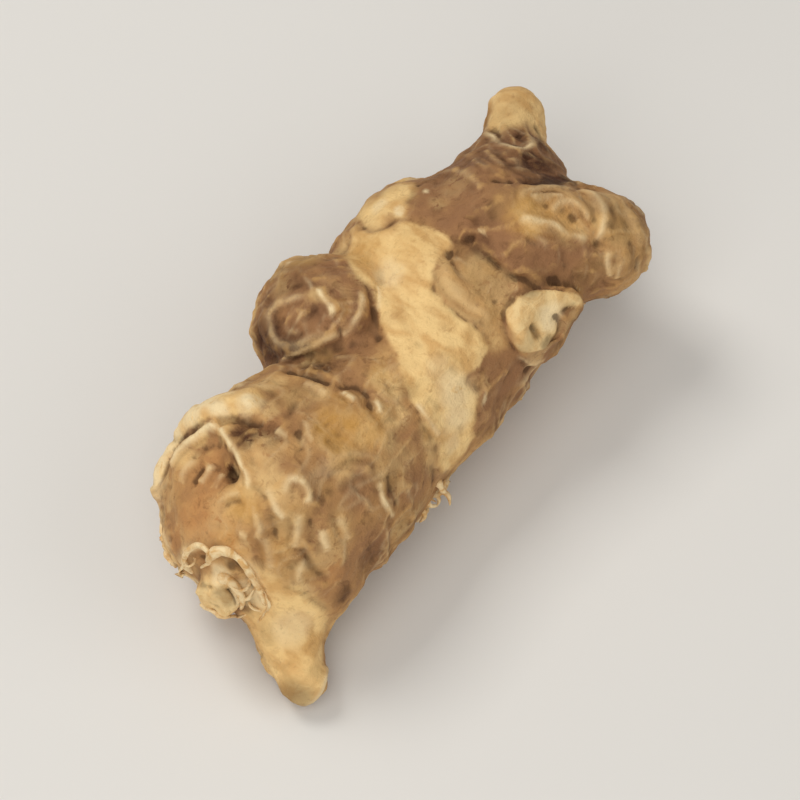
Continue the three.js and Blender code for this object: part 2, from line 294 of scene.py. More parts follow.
class Skin:
    """The skin while it is shaped: its points, what lies where on it, and the height and marks to add."""

    # Values from 0 to 1 at each point, which the bark's material reads. The crease mark is painted shade in
    # folds, pits and gaps. The deep mark is the almost purple bark, and also painted shade in gaps and on
    # lower sides.
    MARKS = ("worn", "rust", "ochre", "olive", "deep", "crease_shade_and_fleck", "edge", "cut", "bark")

    def __init__(self, points, faces):
        self.faces = faces
        sides = [(face[i - 1], face[i]) for face in faces for i in range(len(face))]
        self.edges = np.unique(np.sort(np.array(sides), axis=1), axis=0)
        self.degree = np.bincount(self.edges.ravel(), minlength=len(points)).astype(float)
        self.points = self.blurred(points, 6)
        self.tree = BVHTree.FromPolygons(self.points.tolist(), faces)
        _, direction, limbs = skin_distance(self.points)
        self.normals = unit(self.blurred(unit(direction), 3))
        self.limbs = limbs
        self.owner = limbs.argmin(axis=1)
        nearest_two = np.sort(limbs, axis=1)[:, :2]
        self.apart = smooth_step(0.1, 1.6, nearest_two[:, 1] - nearest_two[:, 0])
        self.beside, self.above, self.along = self.limb_places()
        self.angle = np.arctan2(self.above, self.beside)
        self.seen = self.seen_from_camera()
        self.height = np.zeros(len(points))
        self.marks = {name: np.zeros(len(points)) for name in self.MARKS}
        warp = np.stack([layered(self.points / 2.4, 2, seed) for seed in (31, 37, 41)], axis=1)
        self.wavy = self.points + 0.45 * warp

    def blurred(self, values, rounds):
        """Values evened out between neighbouring points."""
        values = np.asarray(values, float)
        a, b = self.edges.T
        columns = values.reshape(len(values), -1)
        for _ in range(rounds):
            total = np.empty_like(columns)
            for i, column in enumerate(columns.T):
                total[:, i] = np.bincount(a, column[b], len(values)) + np.bincount(b, column[a], len(values))
            columns = 0.5 * columns + 0.5 * total / self.degree[:, None]
        return columns.reshape(values.shape)

    def limb_places(self):
        """Where each point is on its own limb, in millimetres: beside, above and along the spine."""
        places = np.zeros((len(self.points), 3))
        for index, tube in enumerate(TUBES):
            mine = self.owner == index
            here = self.points[mine]
            best, share, _ = nearest_on(here, tube.centres)
            step = tube.centres[best + 1] - tube.centres[best]
            out = here - tube.centres[best] - share[:, None] * step
            beside, above, past = (
                np.einsum("ij,ij->i", out, way[best]) for way in (tube.across, tube.above, tube.tangents)
            )
            along = tube.travelled[best] + share * np.linalg.norm(step, axis=1) + past
            places[mine] = np.stack([beside, above, along], axis=1)
        return places.T

    def seen_from_camera(self):
        """1 where a point faces the camera with nothing in front of it, and 0 where it doesn't."""
        facing = self.normals @ TOWARDS
        seen = np.zeros(len(self.points))
        way = Vector(TOWARDS)
        for i in np.flatnonzero(facing > 0.05):
            start = Vector(self.points[i] + self.normals[i] * 0.3)
            seen[i] = self.tree.ray_cast(start, way)[0] is None
        return self.blurred(seen * smooth_step(0.05, 0.4, facing), 4)

    def spot(self, place):
        """The point on the near side at a (right, up) place of the view, or the one nearest to it."""
        middle = VIEW_MIDDLE + RIGHT * place[0] + UPWARD * place[1]
        hit = self.tree.ray_cast(Vector(middle + TOWARDS * OUTSIDE), Vector(-TOWARDS))[0]
        if hit is None:
            beside = [self.tree.find_nearest(Vector(middle + TOWARDS * depth)) for depth in range(-14, 22, 2)]
            hit = min(beside, key=lambda found: found[3])[0]
        return hit

    def spot_outward(self, start, axis):
        """The outermost point of the skin on a ray from inside."""
        way = Vector(axis).normalized()
        far = Vector(start) + way * OUTSIDE
        return self.tree.ray_cast(far, -way)[0]

    def gap_to(self, path, waver=0.5, rounds=2):
        """For each point: the distance to a line drawn on the near side, above 0 to the left of its way and
        below 0 to the right, and how far along the line it is."""
        line = np.array([self.spot(place) for place in curve_through(path, 10 + 6 * len(path))])
        for _ in range(rounds):
            line[1:-1] = 0.25 * line[:-2] + 0.5 * line[1:-1] + 0.25 * line[2:]
        line = np.array([self.tree.find_nearest(Vector(point))[0] for point in line])
        margin = 4.0
        points = self.points + waver * (self.wavy - self.points)
        near = np.all((points > line.min(axis=0) - margin) & (points < line.max(axis=0) + margin), axis=1)
        gap, place = np.full(len(near), 99.0), np.zeros(len(near))
        best, share, reach = nearest_on(points[near], line)
        step = (line[1:] - line[:-1])[best]
        offset = points[near] - line[best] - share[:, None] * step
        left = np.einsum("ij,ij->i", offset, np.cross(TOWARDS, step))
        gap[near] = np.where(left > 0, reach, -reach)
        place[near] = (best + share) / (len(line) - 1)
        return gap, place

    def inside(self, outline, softness):
        """1 inside a closed outline on the near side, and 0 outside it, with a wavy edge."""
        ring = curve_through([*outline, outline[0]], 8 * len(outline))
        offset = self.wavy - VIEW_MIDDLE
        flat = np.stack([offset @ RIGHT, offset @ UPWARD], axis=1)
        gap = nearest_on(flat, ring)[2]
        x, y = flat.T
        crossings = np.zeros(len(flat), int)
        for (x0, y0), (x1, y1) in zip(ring, ring[1:]):
            if y0 != y1:
                crossings += ((y0 > y) != (y1 > y)) & (x < x0 + (y - y0) * (x1 - x0) / (y1 - y0))
        return smooth_step(-softness, softness, np.where(crossings % 2, gap, -gap)) * self.seen

    def mark(self, name, amount):
        self.marks[name] = np.maximum(self.marks[name], np.clip(amount, 0, 1))

    def unmark(self, name, amount):
        self.marks[name] = self.marks[name] * (1 - np.clip(amount, 0, 1))

    def patch(self, name, place, radius, amount):
        """A round mark on the near side, with a wavy edge."""
        gap = np.linalg.norm(self.wavy - np.array(self.spot(place)), axis=1)
        self.mark(name, amount * smooth_step(1.5 * radius, 0.5 * radius, gap))

    def line_shares(self, path, ends):
        """Distance to a line on the near side, how it fades over a share of its length at both ends, and how
        uneven it is, both up to 1."""
        gap, share = self.gap_to(path)
        fade = smooth_step(0, ends, share) * smooth_step(1, 1 - ends, share)
        return gap, fade, 0.55 + 0.45 * smooth_step(-0.4, 0.25, noise(self.points / 1.3, 62))

    def groove(self, path, width, depth, dark):
        """A groove along a line on the near side, with shade painted in its bottom."""
        gap, fade, uneven = self.line_shares(path, ends=0.15)
        self.height -= depth * bell(gap, width) * fade * uneven
        self.mark("crease_shade_and_fleck", dark * bell(gap, 0.85 * width) * fade * uneven)

    def ridge(self, path, width, height, pale):
        """The edge of a scale along a line on the near side: a slow rise from the left of the line's way,
        a steep drop to the right, and a crest that is worn pale, with shade painted at the foot of the drop."""
        gap, fade, uneven = self.line_shares(path, ends=0.12)
        reach = width * np.where(gap > 0, 2.6, 0.7)
        self.height += height * bell(gap, reach) * fade * (0.4 + 0.6 * uneven)
        crest = bell(gap, np.where(gap > 0, 0.9, 0.55) * width)
        self.mark("edge", pale * crest * fade * uneven)
        self.mark("crease_shade_and_fleck", 0.25 * bell(gap + 1.3 * width, 0.5 * width) * fade * uneven)

    def scar(self, centre, radius, depth, rim=0.3, pale=0.8, pit=0.8, share=1.0):
        """A round scar: a raised rim, a hollow and a small pit, as a root or a leaf leaves it, with shade
        painted in the pit and in a ring inside the rim.
        """
        centre = np.array(centre)
        offset = self.wavy - centre
        near = np.argmin(np.linalg.norm(self.points - centre, axis=1))
        normal = self.normals[near]
        tall = unit(UPWARD - normal * (UPWARD @ normal))
        beside = np.cross(normal, tall)
        down = offset @ normal
        gap = np.hypot(offset @ tall, offset @ beside)
        here = share * bell(down, 1.2 * radius)
        raised = rim * bell(gap - radius, 0.22 * radius + 0.12)
        self.height += here * (raised - depth * bell(gap, 0.7 * radius))
        self.height -= here * pit * depth * bell(gap, 0.28 * radius)
        ragged = 0.4 + 0.6 * smooth_step(-0.3, 0.3, noise(self.points / 1.1, 61))
        self.mark("edge", pale * ragged * here * bell(gap - radius, 0.14 * radius + 0.1))
        self.mark("crease_shade_and_fleck", pit * here * bell(gap, 0.3 * radius))
        self.mark("crease_shade_and_fleck", 0.4 * pit * here * bell(gap - 0.72 * radius, 0.12 * radius))


# What the near side shows, as (right, up) places in millimetres.
WORN_STRIPE = [
    (-5.0, 12.4), (-3.9, 14.6), (-2.0, 15.0), (-0.1, 15.3), (1.4, 15.1), (4.1, 14.1), (3.7, 12.9),
    (2.8, 11.6), (2.6, 10.0), (3.9, 8.0), (6.1, 6.4), (7.5, 4.9), (6.8, 3.6), (6.1, 2.0), (6.1, 0.4),
    (6.3, -1.2), (6.3, -2.7), (5.3, -4.5), (4.1, -6.3), (3.3, -5.6), (3.6, -3.2), (2.5, -1.9), (1.4, -0.5),
    (0.6, 1.6), (-0.5, 3.3), (-1.0, 4.8), (-1.7, 6.4), (-2.0, 8.2), (-2.6, 10.0), (-4.0, 11.1),
]
PINK_EDGE = [
    (3.0, 12.5), (4.2, 12.0), (5.2, 10.6), (6.6, 9.6), (7.9, 8.0), (8.8, 6.4), (8.9, 5.1), (7.9, 4.9),
    (6.1, 6.6), (3.9, 8.2), (2.7, 10.2),
]
WORN_SHOULDER = [
    (-4.4, 15.5), (-3.4, 16.9), (-1.8, 18.2), (0.2, 18.9), (1.3, 18.4), (0.8, 17.0), (0.4, 15.9),
    (-0.8, 15.8), (-2.2, 15.3),
]
BARK_BAND = [
    (1.2, 17.6), (2.0, 19.6), (5.0, 21.0), (7.7, 22.6), (12.7, 22.2), (14.6, 19.3), (12.6, 18.6),
    (10.6, 18.4), (10.4, 15.6), (13.4, 14.6), (17.2, 13.2), (18.2, 10.8), (16.5, 9.4), (12.3, 10.6),
    (9.8, 11.0), (7.0, 12.8), (5.0, 14.0), (1.6, 15.6), (0.8, 16.6),
]
BARK_FLANK = [
    (6.6, 3.4), (7.8, 4.4), (9.2, 4.8), (9.3, 7.4), (10.2, 5.2), (11.4, 3.8), (13.4, 4.6), (15.0, 6.0),
    (15.4, 4.6), (12.4, 1.6), (10.0, -0.6), (7.6, -4.2), (6.6, -2.6), (6.3, -0.6), (6.2, 1.8),
]
BARK_SHOULDER = [
    (-7.4, 12.4), (-5.6, 13.0), (-4.6, 11.4), (-3.0, 9.6), (-2.3, 7.0), (-1.6, 4.6), (-3.2, 3.0),
    (-4.6, 5.0), (-4.0, 8.8), (-6.6, 11.0),
]
CUT_FACE = [
    (9.5, 8.1), (10.4, 9.0), (11.9, 9.4), (13.0, 9.7), (14.6, 9.4), (16.2, 8.7), (15.0, 8.1), (13.9, 7.3),
    (14.1, 6.4), (13.5, 5.4), (13.0, 4.5), (12.1, 3.8), (11.0, 4.4), (10.2, 5.5), (9.7, 6.8),
]
EYE = [
    (10.2, 15.9), (10.9, 17.4), (12.4, 18.1), (14.0, 18.5), (15.9, 18.3), (17.4, 17.7), (17.8, 16.0),
    (17.6, 14.4), (16.4, 13.8), (15.0, 14.3), (13.0, 14.9), (11.4, 15.1),
]
PALE_FINGER = [
    (-13.8, -14.8), (-11.8, -14.4), (-9.4, -15.2), (-7.6, -16.4), (-6.6, -18.8), (-5.6, -22.6),
    (-6.4, -27.0), (-9.6, -27.6), (-13.4, -22.0), (-14.8, -19.2), (-13.0, -17.0),
]
NECK_TIP = [
    (6.2, 24.6), (7.6, 24.2), (9.0, 24.3), (10.4, 24.4), (11.8, 24.7), (13.4, 26.0), (12.0, 29.0),
    (6.0, 29.0),
]
COLLAR = [
    (-20.5, -9.0), (-20.8, -7.2), (-20.8, -5.4), (-20.3, -4.0), (-19.2, -2.9), (-17.8, -2.1), (-16.0, -1.4),
    (-14.2, -0.8), (-12.6, -0.6), (-11.1, -0.7),
]

# Round patches of colour, as (mark, place, radius, amount); some are painted shade or painted highlights, as
# the headings below say. Where two of one mark meet, the stronger counts.
TINTS = [
    # The stripe's orange corner, the shoulder beside it and the cream fleck in the bark, and painted shade in
    # low places of the bark band, such as the valley towards the side lobe.
    ("ochre", (-3.1, 12.9), 1.9, 0.6), ("ochre", (0.8, 13.2), 1.6, 0.35), ("worn", (-5.4, 14.9), 1.5, 0.4),
    ("edge", (-1.6, 17.0), 0.8, 0.5), ("edge", (0.0, 16.4), 0.5, 0.7), ("edge", (2.4, 18.2), 0.4, 0.8),
    ("worn", (3.4, 17.4), 0.9, 0.25), ("deep", (7.2, 15.8), 1.3, 0.4), ("deep", (3.2, 16.6), 0.7, 0.3),
    # The neck, almost purple on its right, with painted shade in the dark gap between the neck and the side
    # lobe.
    ("deep", (11.9, 20.9), 1.9, 1.0), ("deep", (13.4, 19.6), 1.6, 1.0), ("deep", (11.0, 19.2), 1.0, 0.8),
    ("deep", (8.0, 24.2), 0.5, 0.7), ("deep", (10.8, 23.6), 1.1, 0.8), ("deep", (12.9, 22.6), 1.0, 1.0),
    ("deep", (9.2, 23.4), 0.9, 0.5), ("deep", (14.2, 19.4), 1.2, 1.0), ("deep", (10.4, 20.2), 1.2, 0.8),
    ("crease_shade_and_fleck", (13.2, 19.2), 1.2, 0.75), ("crease_shade_and_fleck", (14.9, 19.3), 0.8, 0.7),
    ("crease_shade_and_fleck", (11.6, 19.2), 1.0, 0.4), ("crease_shade_and_fleck", (12.9, 22.4), 1.2, 0.35),
    ("crease_shade_and_fleck", (13.2, 20.8), 1.2, 0.3), ("deep", (12.2, 19.0), 1.1, 0.9),
    ("crease_shade_and_fleck", (11.6, 21.2), 1.2, 0.15), ("deep", (6.4, 19.0), 1.1, 0.25), ("deep", (16.6, 19.4), 1.2, 0.5),
    # The side lobe.
    ("rust", (14.6, 16.3), 2.0, 0.7), ("ochre", (13.4, 15.6), 1.8, 0.6), ("ochre", (17.2, 15.8), 0.8, 0.4),
    ("olive", (19.6, 15.4), 2.0, 0.8), ("olive", (18.4, 17.4), 1.0, 0.5), ("bark", (17.4, 17.0), 1.1, 0.6),
    ("olive", (9.4, 17.0), 1.8, 0.5), ("olive", (16.8, 11.4), 1.6, 0.5), ("olive", (20.4, 12.4), 1.8, 0.6),
    ("worn", (18.4, 12.4), 1.0, 0.25), ("worn", (21.5, 12.0), 0.8, 0.45), ("worn", (19.4, 14.4), 1.2, 0.25),
    ("worn", (11.2, 15.8), 1.4, 0.5), ("ochre", (11.2, 15.7), 1.8, 0.8), ("rust", (14.6, 15.0), 1.8, 0.6),
    ("worn", (14.6, 14.8), 1.4, 0.4), ("deep", (18.2, 16.6), 0.7, 0.45), ("deep", (19.0, 15.2), 1.0, 0.35),
    ("deep", (15.3, 15.9), 0.6, 0.4),
    # The tan flank above the cut face, with painted shade in the folds round the face and on the lower flank.
    ("olive", (7.4, 10.2), 1.6, 0.45), ("bark", (8.8, 9.4), 1.4, 0.75), ("bark", (5.6, 9.6), 1.0, 0.5),
    ("bark", (15.4, 6.6), 1.2, 1.0), ("deep", (15.5, 6.9), 1.0, 0.7), ("crease_shade_and_fleck", (11.0, 9.5), 0.8, 0.55),
    ("deep", (10.3, 3.6), 0.7, 0.4), ("crease_shade_and_fleck", (10.8, 4.8), 0.8, 0.22), ("olive", (13.6, 4.4), 1.2, 0.25),
    ("deep", (13.8, 4.6), 1.0, 0.4), ("deep", (8.2, -2.2), 1.3, 0.45), ("deep", (10.4, 0.4), 1.2, 0.4),
    ("rust", (9.0, 1.6), 1.4, 0.25), ("edge", (7.1, 0.0), 0.45, 0.55),
    # The knob, with shade painted on its lower side and round its edge.
    ("deep", (-11.4, 5.0), 2.4, 1.0), ("deep", (-9.0, 4.6), 2.0, 0.8), ("deep", (-7.2, 3.0), 1.7, 0.85),
    ("deep", (-11.3, 9.0), 1.6, 0.35), ("deep", (-8.8, 3.0), 1.0, 0.5), ("rust", (-9.9, 6.6), 1.5, 0.6),
    ("rust", (-8.4, 8.6), 1.3, 0.45), ("olive", (-8.4, 12.4), 1.8, 1.0), ("worn", (-8.4, 12.5), 1.6, 0.3),
    ("olive", (-10.8, 10.8), 1.2, 0.5), ("worn", (-7.0, 9.2), 1.1, 0.5), ("ochre", (-5.3, 7.8), 0.8, 0.4),
    ("deep", (-7.2, 7.5), 0.7, 0.55), ("olive", (-6.8, 3.6), 1.0, 0.7), ("deep", (-3.0, 6.2), 0.8, 0.3),
    # Below the knob, the tan skin left of the stripe, and the ochre patch.
    ("worn", (-1.0, 1.4), 1.6, 0.65), ("ochre", (-1.0, 2.4), 1.2, 0.3), ("worn", (-0.8, -1.2), 1.5, 0.5),
    ("worn", (-1.0, -3.4), 1.4, 0.45), ("worn", (3.0, -3.2), 1.2, 0.5), ("worn", (3.0, -5.2), 1.3, 0.4),
    ("worn", (-5.0, -5.2), 1.5, 0.35), ("worn", (0.6, -4.6), 1.2, 0.3), ("ochre", (1.0, 1.0), 1.0, 0.25),
    ("worn", (-7.2, 0.8), 1.3, 0.4), ("bark", (-11.2, -2.6), 1.3, 0.7), ("worn", (-8.6, 0.2), 1.2, 0.3),
    ("olive", (-12.2, 2.1), 1.6, 0.9), ("worn", (-12.4, 1.9), 1.5, 0.35), ("edge", (-13.0, -1.0), 0.8, 0.4),
    ("worn", (-11.2, -0.9), 1.0, 0.45), ("olive", (-9.6, 0.7), 1.6, 0.6), ("ochre", (-5.2, -2.4), 2.3, 0.9),
    ("ochre", (-2.8, -2.2), 1.8, 0.6), ("worn", (-3.0, -2.8), 1.3, 0.45), ("ochre", (-5.2, 0.0), 1.2, 0.5),
    ("rust", (-2.0, -3.2), 1.4, 0.5), ("olive", (-5.6, -3.8), 0.8, 0.5), ("rust", (-11.3, -3.0), 1.7, 1.0),
    ("worn", (-11.4, -5.2), 1.4, 0.45),
    # The rooted end, with painted shade in the bowl's pit.
    ("rust", (-16.3, -6.2), 2.8, 0.7), ("rust", (-16.2, -10.2), 3.4, 0.9),
    ("ochre", (-13.4, -8.8), 1.6, 0.7), ("ochre", (-14.0, -12.0), 1.6, 0.4),
    ("worn", (-20.4, -6.2), 1.1, 0.7), ("rust", (-19.0, -12.0), 1.4, 0.5),
    ("crease_shade_and_fleck", (-19.2, -9.0), 1.3, 0.1), ("deep", (-14.9, -6.0), 1.1, 1.0),
    ("worn", (-13.6, -8.4), 2.0, 0.5), ("worn", (-15.2, -9.8), 2.0, 0.25),
    ("worn", (-11.2, -7.4), 1.7, 0.5), ("worn", (-9.4, -9.4), 1.8, 0.4), ("worn", (-15.0, -14.6), 1.6, 0.4),
    # Painted highlights on the stripe's brightest places, most where it turns away from the key lamp, and a
    # paler patch at its upper left.
    ("edge", (-1.0, 11.0), 1.5, 0.4), ("edge", (4.8, 0.8), 1.8, 0.55), ("edge", (4.9, -1.4), 1.5, 0.55),
    ("edge", (4.6, -3.6), 0.9, 0.35), ("worn", (-5.0, 13.2), 1.3, 0.5), ("edge", (3.2, 2.6), 1.2, 0.25),
    # Painted shade in the fold under the side lobe, painted highlights on the eye's lower right rim, and a
    # paler patch on the flank.
    ("deep", (6.9, 13.0), 1.3, 0.6), ("deep", (5.0, 13.4), 1.0, 0.5), ("worn", (15.4, 14.8), 1.1, 0.5),
    ("worn", (17.1, 15.2), 1.0, 0.5), ("worn", (7.0, 1.2), 1.1, 0.25),
    # The bowl's lip, and the face of the snapped root, with painted shade in small pits on the face.
    ("worn", (-17.4, -3.3), 0.6, 0.8), ("worn", (-14.6, -3.6), 0.45, 0.9),
    ("worn", (-15.1, -2.8), 0.9, 0.6), ("worn", (-13.4, -5.6), 0.45, 0.9),
    ("worn", (-13.1, -7.0), 0.45, 0.8), ("crease_shade_and_fleck", (-17.2, -15.7), 0.5, 0.5),
    ("crease_shade_and_fleck", (-15.9, -16.9), 0.4, 0.4), ("edge", (-17.6, -17.8), 0.5, 0.6),
    ("edge", (-16.2, -18.6), 0.5, 0.6),
    # Shade in the folds and at the ends.
    ("crease_shade_and_fleck", (-9.2, -25.6), 1.7, 0.42), ("crease_shade_and_fleck", (10.0, 25.6), 2.4, 0.14),
    ("crease_shade_and_fleck", (13.4, 4.6), 1.0, 0.2), ("crease_shade_and_fleck", (17.2, 16.9), 1.3, 0.26), ("worn", (5.0, 19.0), 1.6, 0.2),
    ("crease_shade_and_fleck", (0.9, 1.0), 0.9, 0.28), ("crease_shade_and_fleck", (7.4, 10.8), 1.3, 0.12),
    ("crease_shade_and_fleck", (3.0, 7.2), 1.2, 0.07), ("crease_shade_and_fleck", (-1.0, 7.0), 1.0, 0.07),
    ("crease_shade_and_fleck", (-12.2, 5.6), 1.4, 0.3), ("crease_shade_and_fleck", (-9.4, 4.2), 1.0, 0.2),
    ("deep", (-12.9, -2.9), 1.5, 1.0), ("deep", (-15.0, -5.2), 1.6, 0.5), ("deep", (-9.6, 10.6), 2.2, 0.5),
    ("deep", (-11.6, 8.4), 1.5, 0.5), ("deep", (-5.2, 3.2), 1.4, 0.6), ("crease_shade_and_fleck", (-14.6, -14.0), 0.5, 0.7),
    ("crease_shade_and_fleck", (-13.1, -15.1), 0.5, 0.8), ("crease_shade_and_fleck", (-14.6, -16.6), 0.45, 0.6),
    ("crease_shade_and_fleck", (-13.0, -17.3), 0.45, 0.6), ("crease_shade_and_fleck", (-16.8, -13.4), 0.45, 0.6),
    ("edge", (-13.5, -16.3), 0.9, 0.6), ("edge", (-15.5, -14.9), 0.9, 0.75),
    ("edge", (13.4, 7.4), 1.1, 0.8), ("crease_shade_and_fleck", (-15.4, -12.8), 1.1, 0.42),
    ("crease_shade_and_fleck", (-9.0, 4.8), 1.2, 0.32), ("crease_shade_and_fleck", (13.2, 5.0), 0.9, 0.5),
    ("crease_shade_and_fleck", (11.0, 9.4), 1.0, 0.2), ("crease_shade_and_fleck", (-11.0, 9.0), 1.3, 0.15),
    ("deep", (-1.0, -7.2), 1.3, 0.5), ("crease_shade_and_fleck", (-15.2, -17.0), 1.1, 0.36),
    ("bark", (11.2, 17.2), 1.0, 0.5), ("crease_shade_and_fleck", (12.2, 17.2), 1.4, 0.16),
    ("crease_shade_and_fleck", (-5.2, -16.8), 1.0, 0.2), ("worn", (-11.4, 1.2), 1.4, 0.45), ("worn", (3.0, -2.8), 1.4, 0.7),
    # The lower body and its right side, with painted shade towards the lower right and in a few folds.
    ("worn", (-5.2, -11.2), 1.6, 0.3), ("worn", (-9.2, -12.0), 1.6, 0.3), ("worn", (-9.0, -14.8), 1.2, 0.4),
    ("bark", (-6.2, -5.9), 1.1, 0.7), ("bark", (-3.6, -7.6), 2.0, 0.6), ("bark", (1.6, -7.2), 2.0, 0.8),
    ("bark", (-2.0, -12.0), 2.4, 0.9), ("bark", (0.2, -4.6), 1.8, 0.4), ("rust", (-5.8, -14.4), 1.3, 0.6),
    ("olive", (-9.0, -10.4), 1.8, 0.6), ("olive", (-8.6, -14.6), 1.6, 0.5),
    ("ochre", (-10.4, -12.8), 1.5, 0.5), ("deep", (0.8, -10.6), 1.8, 0.45),
    ("deep", (-2.4, -13.4), 1.8, 0.5), ("deep", (4.6, -8.0), 1.6, 0.4), ("ochre", (-8.6, -20.4), 2.0, 0.2),
    ("olive", (-7.5, -23.2), 0.7, 0.6), ("olive", (-11.4, -20.0), 1.1, 0.5),
    ("edge", (-9.2, -19.4), 1.6, 0.4), ("olive", (-9.2, -25.2), 1.4, 0.7),
    ("edge", (-12.6, -16.8), 1.7, 0.75), ("worn", (-13.0, -15.0), 1.2, 0.6),
    ("worn", (-18.6, -5.0), 1.2, 0.6), ("worn", (-17.2, -2.9), 1.0, 0.7), ("worn", (-15.0, -1.7), 0.9, 0.8),
    ("deep", (11.4, 11.2), 1.2, 0.4), ("deep", (-11.0, -3.0), 1.2, 0.75), ("deep", (-5.2, -16.6), 1.2, 0.6),
    ("deep", (-5.6, 3.6), 1.3, 0.4), ("bark", (11.0, 9.9), 0.8, 0.6),
]

